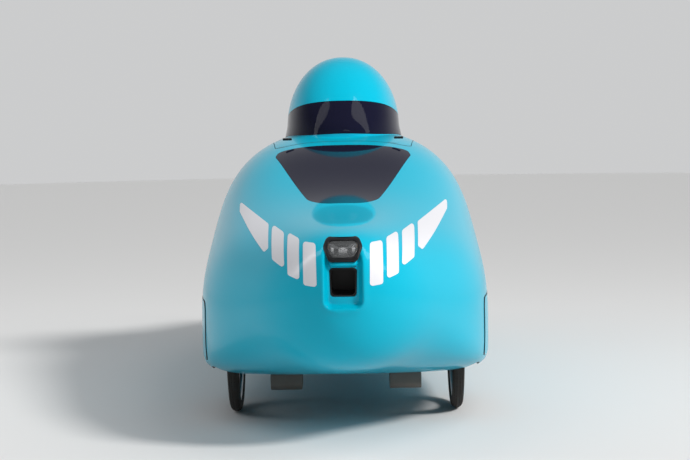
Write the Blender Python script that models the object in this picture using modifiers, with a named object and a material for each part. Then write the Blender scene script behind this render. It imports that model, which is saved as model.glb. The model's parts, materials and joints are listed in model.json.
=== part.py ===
"""Three-wheeled velomobile: a closed shell on two steered front wheels and one driven rear wheel.

Metres, +Z up. The nose points to -Y, the origin is on the ground below the middle of the body.
"""

import math

import bmesh
import bpy
from mathutils import Matrix, Vector

# Body shell
BODY_LENGTH = 2.60
BODY_WIDTH = 0.784
DECK_HEIGHT = 0.735
FLOOR_HEIGHT = 0.112
SHELL_WALL = 0.005
PANEL_WALL = 0.0037
REBATE_DEPTH = 0.0040
FLANGE_DEPTH = 0.0075
FLANGE_REACH = 0.012
SPLIT_HEIGHT = 0.352
SEAM_GAP = 0.0006
REST_GAP = 0.0003
WELD_GAP = 0.00001
FLAT_ANGLE = math.radians(0.05)
OVERRUN = 0.02

# Places along the body, as shares of its length from the nose
FRONT_AXLE_SHARE = 0.29231
REAR_AXLE_SHARE = 0.78077
CRANK_SHARE = 0.1423
WINDOW_FRONT_SHARE = 0.228
WINDOW_WIDEST_SHARE = 0.4615
WINDOW_REAR_SHARE = 0.481
LID_FRONT_SHARE = 0.50385
LID_WIDEST_SHARE = 0.677
LID_REAR_SHARE = 0.8596
HOOD_FRONT_SHARE = 0.53654

# Openings and panels
WINDOW_FRONT_WIDTH = 0.174
WINDOW_WIDTH = 0.387
WINDOW_REAR_WIDTH = 0.370
LID_FRONT_WIDTH = 0.400
LID_WIDTH = 0.452
LID_REAR_WIDTH = 0.150
COVER_REACH = 0.215
COVER_LOW = 0.168
COVER_HIGH = 0.322

# Nose and tail fittings
LAMP_HEIGHT = 0.064
LAMP_WIDTH = 0.098
LAMP_CENTRE = 0.500
LAMP_DEPTH = 0.090
BEZEL_EDGE = 0.009
LENS_INSET = 0.003
INLET_WIDTH = 0.066
INLET_LOW = 0.386
INLET_HIGH = 0.457
INLET_DEPTH = 0.150
INLET_WALL = 0.003
TAIL_LAMP_LENGTH = 0.018
TAIL_LAMP_LOW = 0.360
TAIL_LAMP_HIGH = 0.462

# Wheels and axles
WHEEL_INSET = 0.092
FRONT_TYRE_RADIUS = 0.235
FRONT_TYRE_WIDTH = 0.032
FRONT_RIM_RADIUS = 0.2075
REAR_TYRE_RADIUS = 0.310
REAR_TYRE_WIDTH = 0.030
REAR_RIM_RADIUS = 0.2845
RIM_DEPTH = 0.016
RIM_WIDTH = 0.022
TYRE_SEGMENTS = 32
SPOKE_THICKNESS = 0.003
FRONT_HUB_HALF = 0.013
REAR_HUB_HALF = 0.028
HUB_FLANGE = 0.004
HUB_TAPER = 0.003
REAR_AXLE_RADIUS = 0.006
REAR_AXLE_HALF = 0.071

# Front suspension and steering
KINGPIN_INSET = 0.055
KNUCKLE_RADIUS = 0.014
KNUCKLE_LENGTH = 0.150
AXLE_RADIUS = 0.010
BEARING_GAP = 0.0005
DRUM_RADIUS = 0.046
DRUM_WIDTH = 0.014
DRUM_OFFSET = 0.025
BRAKE_GAP = 0.005
BACK_PLATE = 0.003
STEER_ARM = 0.080
STEER_LIMIT = math.radians(8)
ROD_RADIUS = 0.005
PIN_RADIUS = 0.0035
EYE_RADIUS = 0.009
EYE_HEIGHT = 0.010
STRUT_RADIUS = 0.017
CONTROL_ARM_RADIUS = 0.008
BEAM_HALF = 0.030
BEAM_TOP = 0.165
PLATE_THICKNESS = 0.006
PLATE_LIFT = 0.0015
KNUCKLE_BOTTOM = 0.148
TILLER_RADIUS = 0.011
TILLER_REACH = 0.400
TILLER_HEIGHT = 0.470
TILLER_KNEE = 0.100
GRIP_REACH = 0.085
GRIP_RADIUS = 0.015

# Wheel boxes and the arches cut below them
BOX_WALL = 0.003
BOX_INSIDE = 0.045
ARCH_RISE = 0.012
ARCH_SIDE = 0.0065
ARCH_TOP = 0.150
REAR_BOX_HALF = 0.075
REAR_BOX_AHEAD = 0.370

# Hood over the rider's head
HOOD_WALL = 0.004
HOOD_HEIGHT = 0.226
HOOD_WIDTH = 0.352
HOOD_LENGTH = 0.800
HOOD_SKIRT = 0.050
VISOR_FRONT_RISE = 0.118
VISOR_REAR_RISE = 0.036
VISOR_REAR = 0.375

# Hinges along the lid's front edge
HINGE_RADIUS = 0.005
HINGE_PIN = 0.0020
HINGE_LENGTH = 0.036
HINGE_SIDE = 0.165
HINGE_DROP = 0.030
LEAF_THICKNESS = 0.003
LEAF_LENGTH = 0.020

# Drive
CRANK_HEIGHT = 0.345
CRANK_LENGTH = 0.150
CHAINRING_RADIUS = 0.095
SPROCKET_RADIUS = 0.046
CHAIN_SIDE = -0.042
CHAIN_WIDTH = 0.008
CHAIN_DEPTH = 0.006
CHAIN_SLOT = 0.024
GUIDE_RADIUS = 0.0075
GUIDE_BEND = 0.030
RING_THICKNESS = 0.004
SPINDLE_RADIUS = 0.009
BEARING_HALF = 0.032
BEARING_TUBE = 0.020
MAST_RADIUS = 0.014
MAST_SPREAD = 0.110
CRANK_OUT = 0.066
CRANK_WIDTH = 0.012
CRANK_EYE = 0.012
PEDAL_IN = 0.078
PEDAL_OUT = 0.140
PEDAL_LENGTH = 0.055
PEDAL_THICKNESS = 0.014

# Rear swinging arm, whose pivot lies ahead of the rear axle, and shock absorber
SWING_REACH = 0.345
SWING_HEIGHT = 0.225
SWING_TUBE = 0.013
SWING_BAR = 0.008
SHOCK_SIDE = 0.046
SHOCK_RADIUS = 0.012

# Seat
SEAT_WIDTH = 0.300
SEAT_WALL = 0.006
SEAT_LIP = 0.035
SEAT_FOOT_SIDE = 0.110
PAD_THICKNESS = 0.020
HEAD_REST = 0.090

# Heel fairings below the floor
HEEL_AHEAD = 0.160
HEEL_LENGTH = 0.110
HEEL_WIDTH = 0.084
HEEL_BOTTOM = 0.082
HEEL_RISE = 0.060
HEEL_NOSE_RISE = 0.014
HEEL_TAIL_RISE = 0.006
HEEL_RAMP = 0.020
HEEL_CORNER = 0.012

# Inner pieces in side view, as shares of the wheelbase behind the front axle and of the height
# between floor and deck. The chain's runs are its inner edge, the seat's line its lower face.
CHAIN_LOWER_SHARES = ((-0.0472, 0.1766), (0.0748, 0.1605), (0.1417, 0.0465), (0.4724, 0.0465))
CHAIN_UPPER_SHARES = ((0.4252, 0.0658), (0.1535, 0.0722), (0.0630, 0.2006), (-0.0472, 0.3050))
SEAT_LINE_SHARES = (
    (0.1654, 0.1493), (0.1969, 0.1124), (0.2677, 0.0963), (0.3780, 0.0963), (0.4331, 0.1252),
    (0.4803, 0.2055), (0.5669, 0.4061), (0.6614, 0.6228), (0.7480, 0.8074),
)
SEAT_FOOT_SHARES = (0.2756, 0.3228)
SEAT_BRACE_SHARES = ((0.6535, 0.6100), (0.6850, 0.6774), (0.8346, 0.7191), (0.8031, 0.5425))

# The body's sections. Columns: place along the body, half width, bottom, top and waist heights as
# shares of the length, the half width and the height above the floor, then the powers that round
# the lower and the upper half.
BODY_SHARES = (
    (0.000, 0.030, 0.432, 0.480, 0.456, 2.0, 2.0),
    (0.0077, 0.200, 0.270, 0.612, 0.450, 2.1, 2.1),
    (0.023, 0.330, 0.180, 0.660, 0.425, 2.2, 2.1),
    (0.054, 0.492, 0.120, 0.688, 0.390, 2.3, 2.1),
    (0.100, 0.655, 0.088, 0.704, 0.345, 2.4, 2.15),
    (0.154, 0.835, 0.056, 0.716, 0.300, 4.0, 2.25),
    (0.208, 0.950, 0.025, 0.732, 0.260, 7.0, 2.45),
    (0.292, 1.000, 0.000, 0.778, 0.240, 9.0, 2.65),
    (0.385, 0.997, 0.000, 0.860, 0.270, 9.0, 2.75),
    (0.469, 0.985, 0.000, 0.942, 0.320, 7.5, 2.85),
    (0.558, 0.968, 0.000, 0.990, 0.370, 5.5, 2.85),
    (0.654, 0.910, 0.000, 1.000, 0.385, 4.0, 2.65),
    (0.750, 0.785, 0.006, 0.958, 0.370, 3.2, 2.45),
    (0.846, 0.585, 0.037, 0.862, 0.350, 2.6, 2.3),
    (0.923, 0.370, 0.093, 0.735, 0.355, 2.4, 2.2),
    (0.977, 0.190, 0.165, 0.620, 0.370, 2.3, 2.2),
    (1.000, 0.050, 0.230, 0.545, 0.380, 2.2, 2.2),
)
BODY_RINGS = 20
BODY_RING_POINTS = 24

# The hood's sections. Columns: place along the hood, half width, top height above the deck, as
# shares of its length, half width and height, then the power that rounds it.
HOOD_SHARES = (
    (0.00, 0.06, 0.03, 2.0),
    (0.04, 0.50, 0.28, 2.0),
    (0.12, 0.76, 0.60, 2.05),
    (0.25, 0.93, 0.88, 2.1),
    (0.40, 1.00, 1.00, 2.1),
    (0.55, 0.97, 0.985, 2.1),
    (0.70, 0.83, 0.86, 2.0),
    (0.84, 0.56, 0.62, 2.0),
    (0.95, 0.24, 0.32, 2.0),
    (1.00, 0.05, 0.16, 2.0),
)
HOOD_RINGS = 12
HOOD_RING_POINTS = 20

SIDES = (("left", 1), ("right", -1))

# How the plane of an outline and its depth lie in the vehicle
PLANES = {
    "X": Matrix(((0, 0, 1), (1, 0, 0), (0, 1, 0))),
    "Y": Matrix(((1, 0, 0), (0, 0, -1), (0, 1, 0))),
    "Z": Matrix.Identity(3),
}


def from_nose(distance):
    return -BODY_LENGTH / 2 + distance


def along(share):
    """The place along the body at a share of its length."""
    return from_nose(share * BODY_LENGTH)


def inner_point(behind_share, height_share):
    """The (y, z) point at shares of the wheelbase and of the height between floor and deck."""
    return FRONT_AXLE.y + behind_share * WHEELBASE, FLOOR_HEIGHT + height_share * BODY_SPAN


NOSE_Y = along(0)
TAIL_Y = along(1)
BODY_SPAN = DECK_HEIGHT - FLOOR_HEIGHT
HALF_WIDTH = BODY_WIDTH / 2

# A wheel stands on one flat facet, so its axle is that facet's distance above the ground.
FACET = math.cos(math.pi / TYRE_SEGMENTS)
FRONT_AXLE = Vector((HALF_WIDTH - WHEEL_INSET, along(FRONT_AXLE_SHARE), FRONT_TYRE_RADIUS * FACET))
REAR_AXLE = Vector((0, along(REAR_AXLE_SHARE), REAR_TYRE_RADIUS * FACET))
WHEELBASE = REAR_AXLE.y - FRONT_AXLE.y
KINGPIN_X = FRONT_AXLE.x - KINGPIN_INSET
CRANK_AXIS = Vector((0, along(CRANK_SHARE), CRANK_HEIGHT))
SWING_PIVOT = (REAR_AXLE.y - SWING_REACH, SWING_HEIGHT)
EYE_BOTTOM = BEAM_TOP + PLATE_LIFT + PLATE_THICKNESS + BEARING_GAP
ROD_HEIGHT = EYE_BOTTOM + EYE_HEIGHT / 2
TILLER_GRIP = Vector((0, FRONT_AXLE.y + TILLER_REACH, TILLER_HEIGHT))
CHAIN_LOWER = [inner_point(*shares) for shares in CHAIN_LOWER_SHARES]
CHAIN_UPPER = [inner_point(*shares) for shares in CHAIN_UPPER_SHARES]
SEAT_LINE = [inner_point(*shares) for shares in SEAT_LINE_SHARES]
SEAT_BRACE = [inner_point(*shares) for shares in SEAT_BRACE_SHARES]
SEAT_FOOT = [inner_point(share, 0)[0] for share in SEAT_FOOT_SHARES]


def clear_scene():
    for item in list(bpy.data.objects):
        bpy.data.objects.remove(item, do_unlink=True)


def new_collection(name):
    made = bpy.data.collections.new(name)
    bpy.context.scene.collection.children.link(made)
    return made


def material(name, colour, roughness, metallic=0.0, alpha=1.0):
    made = bpy.data.materials.new(name)
    made.use_nodes = True
    shader = made.node_tree.nodes["Principled BSDF"]
    shader.inputs["Base Color"].default_value = (*colour, 1.0)
    shader.inputs["Roughness"].default_value = roughness
    shader.inputs["Metallic"].default_value = metallic
    shader.inputs["Alpha"].default_value = alpha
    return made


def new_object(name, data, collection):
    made = bpy.data.objects.new(name, data)
    collection.objects.link(made)
    return made


def mesh_from(bm, name):
    bmesh.ops.recalc_face_normals(bm, faces=bm.faces)
    mesh = bpy.data.meshes.new(name)
    bm.to_mesh(mesh)
    bm.free()
    return mesh


def tool(name, mesh):
    """A helper solid that cuts or guides, and isn't part of the vehicle."""
    made = new_object(name, mesh, TOOLS)
    made.hide_render = True
    made.display_type = "WIRE"
    return made


def dressed(item, pivot, finish, smooth_angle=35):
    """Turns a helper solid into a piece of the vehicle, carried by its pivot if it moves."""
    TOOLS.objects.unlink(item)
    PARTS.objects.link(item)
    item.hide_render = False
    item.display_type = "TEXTURED"
    item.data.materials.clear()
    item.data.materials.append(finish)
    item.data.shade_smooth()
    item.data.set_sharp_from_angle(angle=math.radians(smooth_angle))
    if pivot:
        item.parent = pivot
        item.matrix_parent_inverse = Matrix.Translation(-pivot.location)
    return item


def evaluated_mesh(item):
    """The mesh that an object's modifiers or its curve make."""
    bpy.context.view_layer.update()
    graph = bpy.context.evaluated_depsgraph_get()
    return bpy.data.meshes.new_from_object(item.evaluated_get(graph))


def welded(item, name, flat_ends=False):
    """The closed mesh of a curve or a turned profile, whose own object is removed."""
    bm = bmesh.new()
    bm.from_mesh(evaluated_mesh(item))
    bmesh.ops.remove_doubles(bm, verts=bm.verts, dist=WELD_GAP)
    if flat_ends:
        bmesh.ops.dissolve_limit(bm, angle_limit=FLAT_ANGLE, verts=bm.verts, edges=bm.edges)
    bpy.data.objects.remove(item, do_unlink=True)
    return mesh_from(bm, name)


def combined(target, other, operation):
    """Applies one exact Boolean to target's mesh and returns target."""
    modifier = target.modifiers.new("join", "BOOLEAN")
    modifier.operation = operation
    modifier.solver = "EXACT"
    modifier.object = other
    mesh = evaluated_mesh(target)
    target.modifiers.remove(modifier)
    target.data = mesh
    return target


def cut(target, *cutters):
    for cutter in cutters:
        combined(target, cutter, "DIFFERENCE")
    return target


def kept(target, cutter):
    return combined(target, cutter, "INTERSECT")


def joined(target, *others):
    for other in others:
        combined(target, other, "UNION")
        bpy.data.objects.remove(other, do_unlink=True)
    return target


def copied(source, name):
    return tool(name, source.data.copy())


def eased(table, place):
    """Reads a table of shares at a place along it, with a smooth curve through its rows.

    Places are spaced as on a half circle, so that both ends come out blunt and round.
    """
    def turn(share):
        return math.acos(1 - 2 * share) / math.pi

    knots = [turn(row[0]) for row in table]
    at = turn(place)
    last = len(table) - 2
    i = min(last, max(0, sum(1 for k in knots if k <= at) - 1))
    span = knots[i + 1] - knots[i]
    t = (at - knots[i]) / span

    def slope(j, column):
        low, high = max(0, j - 1), min(len(table) - 1, j + 1)
        return (table[high][column] - table[low][column]) / (knots[high] - knots[low])

    values = []
    for column in range(1, len(table[0])):
        a, b = table[i][column], table[i + 1][column]
        rise_a, rise_b = slope(i, column) * span, slope(i + 1, column) * span
        smooth = t * t * (3 - 2 * t)
        values.append(a + (b - a) * smooth + rise_a * t * (1 - t) ** 2 - rise_b * t * t * (1 - t))
    return values


def body_section(place, inset=0.0):
    """(y, half width, bottom, top, waist, low power, high power) of the body's skin, moved in by inset."""
    half, low, high, waist, low_power, high_power = eased(BODY_SHARES, place)
    return (
        (NOSE_Y + place * BODY_LENGTH) * (1 - inset / (BODY_LENGTH / 2)),
        half * HALF_WIDTH - inset,
        FLOOR_HEIGHT + low * BODY_SPAN + inset,
        FLOOR_HEIGHT + high * BODY_SPAN - inset,
        FLOOR_HEIGHT + waist * BODY_SPAN,
        low_power,
        high_power,
    )


def place_of(y):
    return (y - NOSE_Y) / BODY_LENGTH


def deck_top(y, x=0.0, inset=0.0):
    """Height of the deck above the ground at a point in plan."""
    _, half, _, high, waist, _, power = body_section(place_of(y), inset)
    return waist + (high - waist) * (1 - min(1, abs(x) / half) ** power) ** (1 / power)


def floor_top(y, x=0.0, inset=SHELL_WALL):
    """Height of the floor's upper face at a point in plan."""
    _, half, low, _, waist, power, _ = body_section(place_of(y), inset)
    return waist - (waist - low) * (1 - min(1, abs(x) / half) ** power) ** (1 / power)


HINGE_AXIS = Vector((0, along(LID_FRONT_SHARE), deck_top(along(LID_FRONT_SHARE)) + HINGE_RADIUS))


def flank(y, z, inset=0.0):
    """Half width of the body at a height."""
    _, half, low, high, waist, low_power, high_power = body_section(place_of(y), inset)
    if z > waist:
        return half * (1 - min(1, (z - waist) / (high - waist)) ** high_power) ** (1 / high_power)
    return half * (1 - min(1, (waist - z) / (waist - low)) ** low_power) ** (1 / low_power)


def ring_points(half, low, high, waist, low_power, high_power, count):
    points = []
    for k in range(count):
        angle = math.tau * k / count - math.pi / 2
        c, s = math.cos(angle), math.sin(angle)
        power = high_power if s > 0 else low_power
        reach = (high - waist) if s > 0 else (waist - low)
        x = half * math.copysign(abs(c) ** (2 / power), c)
        z = waist + reach * math.copysign(abs(s) ** (2 / power), s)
        points.append((x, z))
    return points


def loft(name, rings):
    """A closed solid through rings of points, capped at both ends."""
    bm = bmesh.new()
    loops = []
    for ring in rings:
        verts = [bm.verts.new(p) for p in ring]
        loops.append([bm.edges.new((verts[i - 1], verts[i])) for i in range(len(verts))])
    for first, second in zip(loops, loops[1:]):
        bmesh.ops.bridge_loops(bm, edges=first + second)
    bmesh.ops.triangulate(bm, faces=bm.faces, quad_method="FIXED")
    bmesh.ops.holes_fill(bm, edges=loops[0] + loops[-1], sides=0)
    return mesh_from(bm, name)


def body_solid(name, inset=0.0):
    rings = []
    for i in range(BODY_RINGS + 1):
        place = (1 - math.cos(math.pi * i / BODY_RINGS)) / 2
        y, *shape = body_section(place, inset)
        rings.append([(x, y, z) for x, z in ring_points(*shape, BODY_RING_POINTS)])
    return tool(name, loft(name, rings))


def hood_section(place, inset=0.0):
    half, rise, power = eased(HOOD_SHARES, place)
    y = along(HOOD_FRONT_SHARE) + place * HOOD_LENGTH
    deck = deck_top(y)
    middle = along(HOOD_FRONT_SHARE) + HOOD_LENGTH / 2
    y = middle + (y - middle) * (1 - inset / (HOOD_LENGTH / 2))
    half = max(half * HOOD_WIDTH / 2 - inset, inset / 2)
    top = max(deck + rise * HOOD_HEIGHT - inset, deck + inset / 2)
    return y, half, deck - HOOD_SKIRT - inset, top, deck, power, power


def hood_solid(name, inset=0.0):
    rings = []
    for i in range(HOOD_RINGS + 1):
        place = (1 - math.cos(math.pi * i / HOOD_RINGS)) / 2
        y, *shape = hood_section(place, inset)
        rings.append([(x, y, z) for x, z in ring_points(*shape, HOOD_RING_POINTS)])
    return tool(name, loft(name, rings))


def rounded(corners, steps=5):
    """An outline whose corners (x, y, radius) are rounded by arcs."""
    points = []
    for i, (x, y, radius) in enumerate(corners):
        here = Vector((x, y))
        before = (Vector(corners[i - 1][:2]) - here).normalized()
        after = (Vector(corners[(i + 1) % len(corners)][:2]) - here).normalized()
        if radius == 0:
            points.append(tuple(here))
            continue
        half_angle = before.angle(after) / 2
        centre = here + (before + after).normalized() * (radius / math.sin(half_angle))
        start = here + before * (radius / math.tan(half_angle)) - centre
        sweep = start.angle_signed(here + after * (radius / math.tan(half_angle)) - centre)
        for k in range(steps + 1):
            turned = Matrix.Rotation(-sweep * k / steps, 2) @ start
            points.append(tuple(centre + turned))
    return points


def mirrored(corners):
    """A corner list for the +X half of an outline, completed by its mirror image."""
    return list(corners) + [(-x, y, radius) for x, y, radius in reversed(corners)]


def prism(name, outline, axis, start, end):
    """A closed prism of an outline. Axis X takes (y, z) points, Y takes (x, z), Z takes (x, y)."""
    curve = bpy.data.curves.new(name, "CURVE")
    curve.dimensions = "2D"
    curve.fill_mode = "BOTH"
    curve.extrude = abs(end - start) / 2
    spline = curve.splines.new("POLY")
    spline.points.add(len(outline) - 1)
    for point, place in zip(spline.points, outline):
        point.co = (*place, 0, 1)
    spline.use_cyclic_u = True
    mesh = welded(new_object(name, curve, TOOLS), name, True)
    middle = (start + end) / 2
    depth = Matrix.Translation((0, 0, -middle if axis == "Y" else middle))
    mesh.transform(PLANES[axis].to_4x4() @ depth)
    return mesh


def box(low, high):
    """A box mesh between two corners."""
    bm = bmesh.new()
    bmesh.ops.create_cube(bm, size=1)
    low, high = Vector(low), Vector(high)
    bmesh.ops.scale(bm, verts=bm.verts, vec=high - low)
    bmesh.ops.translate(bm, verts=bm.verts, vec=(low + high) / 2)
    return mesh_from(bm, "box")


def rod(start, end, radius, sides=12, end_radius=None):
    """A round bar mesh between two points."""
    start, end = Vector(start), Vector(end)
    bm = bmesh.new()
    length = (end - start).length
    bmesh.ops.create_cone(
        bm, cap_ends=True, segments=sides, radius1=radius,
        radius2=radius if end_radius is None else end_radius, depth=length,
    )
    turn = (end - start).to_track_quat("Z", "Y").to_matrix().to_4x4()
    bmesh.ops.transform(bm, matrix=Matrix.Translation((start + end) / 2) @ turn, verts=bm.verts)
    return mesh_from(bm, "rod")


def turned(name, profile, centre, steps):
    """A ring turned about the X axis through centre, from a closed profile of (radius, x) points."""
    bm = bmesh.new()
    verts = [bm.verts.new((x, 0, -radius)) for radius, x in profile]
    for i in range(len(verts)):
        bm.edges.new((verts[i - 1], verts[i]))
    line = new_object(name + "_profile", mesh_from(bm, name), TOOLS)
    screw = line.modifiers.new("turn", "SCREW")
    screw.axis = "X"
    screw.steps = steps
    screw.render_steps = steps
    screw.use_merge_vertices = True
    screw.merge_threshold = WELD_GAP
    mesh = welded(line, name)
    mesh.transform(Matrix.Translation(centre) @ Matrix.Rotation(math.pi / steps, 4, "X"))
    return tool(name, mesh)


def tube(name, points, radius, sides=3, corner=None):
    """A bent round tube along points, made as a bevelled curve and turned into a closed mesh."""
    curve = bpy.data.curves.new(name, "CURVE")
    curve.dimensions = "3D"
    curve.bevel_depth = radius
    curve.bevel_resolution = sides
    curve.use_fill_caps = True
    spline = curve.splines.new("POLY")
    path = smoothed(points, corner) if corner else points
    spline.points.add(len(path) - 1)
    for point, place in zip(spline.points, path):
        point.co = (*place, 1)
    return tool(name, welded(new_object(name + "_line", curve, TOOLS), name))


def smoothed(points, radius, steps=4):
    """A path whose inner corners are rounded."""
    path = [Vector(points[0])]
    for before, here, after in zip(points, points[1:], points[2:]):
        before, here, after = Vector(before), Vector(here), Vector(after)
        reach = min(radius, (before - here).length / 2, (after - here).length / 2)
        start = here + (before - here).normalized() * reach
        end = here + (after - here).normalized() * reach
        for k in range(steps + 1):
            t = k / steps
            path.append(start * (1 - t) ** 2 + here * 2 * t * (1 - t) + end * t * t)
    path.append(Vector(points[-1]))
    return [tuple(p) for p in path]


def make_materials():
    return {
        "paint": material("turquoise_paint", (0.0, 0.42, 0.58), 0.12),
        "glazing": material("tinted_glazing", (0.02, 0.02, 0.035), 0.05, alpha=0.9),
        "lens": material("clear_lens", (0.75, 0.78, 0.8), 0.08, alpha=0.5),
        "red_lens": material("red_lens", (0.5, 0.01, 0.01), 0.15),
        "black": material("black_plastic", (0.012, 0.012, 0.014), 0.45),
        "carbon": material("carbon_laminate", (0.02, 0.02, 0.022), 0.35),
        "grey": material("grey_laminate", (0.16, 0.16, 0.16), 0.6),
        "alloy": material("aluminium", (0.6, 0.6, 0.62), 0.35, 1.0),
        "steel": material("steel", (0.35, 0.35, 0.37), 0.4, 1.0),
        "rubber": material("tyre_rubber", (0.018, 0.018, 0.018), 0.85),
        "foam": material("seat_fabric", (0.03, 0.03, 0.035), 0.9),
    }


def window_outline(grow=0.0):
    front = along(WINDOW_FRONT_SHARE) - grow
    rear = along(WINDOW_REAR_SHARE) + grow
    widest = along(WINDOW_WIDEST_SHARE)
    return rounded(mirrored((
        (WINDOW_FRONT_WIDTH / 2 + grow, front, WINDOW_FRONT_WIDTH * 0.25),
        (WINDOW_WIDTH / 2 + grow, widest, WINDOW_WIDTH * 0.2),
        (WINDOW_REAR_WIDTH / 2 + grow, rear, WINDOW_REAR_WIDTH * 0.06),
    )))


def lid_outline(grow=0.0):
    front = along(LID_FRONT_SHARE) - grow
    rear = along(LID_REAR_SHARE) + grow
    widest = along(LID_WIDEST_SHARE)
    return rounded(mirrored((
        (LID_FRONT_WIDTH / 2 + grow, front, LID_FRONT_WIDTH * 0.1),
        (LID_WIDTH / 2 + grow, widest, LID_WIDTH * 0.8),
        (LID_REAR_WIDTH / 2 + grow, rear, LID_REAR_WIDTH * 0.4),
    )))


def cover_outline(grow=0.0):
    front = FRONT_AXLE.y - COVER_REACH - grow
    rear = FRONT_AXLE.y + COVER_REACH + grow
    radius = (COVER_HIGH - COVER_LOW) * 0.2
    return rounded((
        (front, COVER_LOW - grow, radius),
        (rear, COVER_LOW - grow, radius),
        (rear - radius, COVER_HIGH + grow, radius),
        (front, COVER_HIGH + grow, radius),
    ))


def lamp_outline(grow=0.0):
    low = LAMP_CENTRE - LAMP_HEIGHT / 2 - grow
    high = LAMP_CENTRE + LAMP_HEIGHT / 2 + grow
    half = LAMP_WIDTH / 2 + grow
    return rounded(mirrored((
        (half * 0.62, low, LAMP_HEIGHT * 0.2),
        (half, low + (high - low) * 0.62, LAMP_HEIGHT * 0.25),
        (half * 0.74, high - (high - low) * 0.03, LAMP_HEIGHT * 0.2),
    )))


def inlet_outline(grow=0.0):
    radius = INLET_WIDTH * 0.14
    return rounded(mirrored((
        (INLET_WIDTH / 2 * 0.94 + grow, INLET_LOW - grow, radius),
        (INLET_WIDTH / 2 + grow, INLET_HIGH + grow, radius),
    )))


def body_layers():
    """The solids inside the skin that shells, panels, flanges and inner pieces are cut from."""
    return {
        "skin": body_solid("skin_outside"),
        "panel": body_solid("panel_inside", PANEL_WALL),
        "middle": body_solid("panel_middle", PANEL_WALL / 2),
        "rebate": body_solid("rebate", REBATE_DEPTH),
        "wall": body_solid("wall_inside", SHELL_WALL),
        "flange": body_solid("flange_inside", FLANGE_DEPTH),
        "fit": body_solid("inner_fit", SHELL_WALL + REST_GAP),
        "over": body_solid("outer_fit", -REST_GAP),
    }


def flange(name, layers, outline, axis, start, end):
    """A ledge behind the skin all round an opening, which the panel in the opening rests on."""
    ledge = copied(layers["rebate"], name)
    cut(ledge, layers["flange"])
    outer = prism(name + "_outer", outline(FLANGE_REACH), axis, start, end)
    kept(ledge, tool(name + "_outer", outer))
    inner = prism(name + "_inner", outline(-FLANGE_REACH), axis, start - OVERRUN, end + OVERRUN)
    return cut(ledge, tool(name + "_inner", inner))


def make_shells(layers, pivot, finish):
    """The lower and upper halves of the monocoque, with every opening cut and every ledge joined."""
    high = DECK_HEIGHT + HOOD_HEIGHT
    side = BODY_WIDTH
    covers = {}
    for name, sign in SIDES:
        start, end = sorted((sign * HALF_WIDTH * 0.6, sign * side))
        covers[name] = (start, end)

    halves = {}
    for name, low_z, high_z in (
        ("lower_shell", 0, SPLIT_HEIGHT),
        ("upper_shell", SPLIT_HEIGHT + REST_GAP, high),
    ):
        half = copied(layers["skin"], name)
        cut(half, layers["wall"])
        slab = box((-side, NOSE_Y - OVERRUN, low_z), (side, TAIL_Y + OVERRUN, high_z))
        kept(half, tool(name + "_slab", slab))
        halves[name] = half

    upper = halves["upper_shell"]
    for name, outline in (("window", window_outline), ("entry", lid_outline)):
        hole = tool(name + "_hole", prism(name + "_hole", outline(SEAM_GAP), "Z", SPLIT_HEIGHT, high))
        cut(upper, hole)
        joined(upper, flange(name + "_ledge", layers, outline, "Z", SPLIT_HEIGHT + OVERRUN, high))
    ahead, behind = NOSE_Y - OVERRUN, from_nose(INLET_DEPTH)
    for name, outline in (("lamp", lamp_outline), ("inlet", inlet_outline)):
        cut(upper, tool(name + "_hole", prism(name + "_hole", outline(SEAM_GAP), "Y", ahead, behind)))

    lower = halves["lower_shell"]
    for name, sign in SIDES:
        start, end = covers[name]
        cut(lower, tool("cover_hole_" + name, prism("hole", cover_outline(SEAM_GAP), "X", start, end)))
        joined(lower, flange("cover_ledge_" + name, layers, cover_outline, "X", start, end))
        cut(lower, tool("arch_" + name, arch_opening(sign)))
    cut(lower, tool("rear_arch", rear_opening()))

    end_low, end_high = TAIL_LAMP_LOW - REST_GAP, TAIL_LAMP_HIGH + REST_GAP
    notch = box(
        (-HALF_WIDTH, TAIL_Y - TAIL_LAMP_LENGTH - REST_GAP, end_low),
        (HALF_WIDTH, TAIL_Y + OVERRUN, end_high),
    )
    cut(upper, tool("tail_notch", notch))
    for half in halves.values():
        dressed(half, pivot, finish)


def arch_outline(axle, radius, grow=0.0, ahead=0.0, steps=14):
    """Side view of a wheel box: a half circle over the axle with straight walls below it."""
    radius += grow
    points = [(axle.y - max(radius, ahead + grow), 0), (axle.y + radius, 0)]
    for k in range(steps + 1):
        angle = math.pi * k / steps
        points.append((axle.y + radius * math.cos(angle), axle.z + radius * math.sin(angle)))
    if ahead:
        points.append((axle.y - ahead - grow, axle.z - radius * 0.1))
    return points


def arch_opening(sign):
    """The hole in the floor that a steered front wheel stands in."""
    inner = KINGPIN_X - KNUCKLE_RADIUS - ARCH_SIDE
    reach = FRONT_TYRE_RADIUS * math.sin(STEER_LIMIT)
    outer = FRONT_AXLE.x + reach + FRONT_TYRE_WIDTH / 2 + ARCH_SIDE
    half_length = FRONT_TYRE_RADIUS * 0.97
    radius = (outer - inner) * 0.2
    y = FRONT_AXLE.y
    outline = rounded((
        (inner, y - half_length, radius),
        (outer, y - half_length, radius),
        (outer, y + half_length, radius),
        (inner, y + half_length, radius),
    ))
    outline = [(sign * x, y) for x, y in outline]
    return prism("arch", outline, "Z", 0, ARCH_TOP)


def rear_opening():
    """The slot in the floor that the rear wheel stands in."""
    half_length = REAR_TYRE_RADIUS * 0.97
    half = REAR_BOX_HALF * 0.6
    radius = half * 0.7
    y = REAR_AXLE.y
    outline = rounded((
        (-half, y - half_length, radius),
        (half, y - half_length, radius),
        (half, y + half_length, radius),
        (-half, y + half_length, radius),
    ))
    return prism("rear_arch", outline, "Z", 0, FLOOR_HEIGHT + BODY_SPAN * 0.25)


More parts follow.
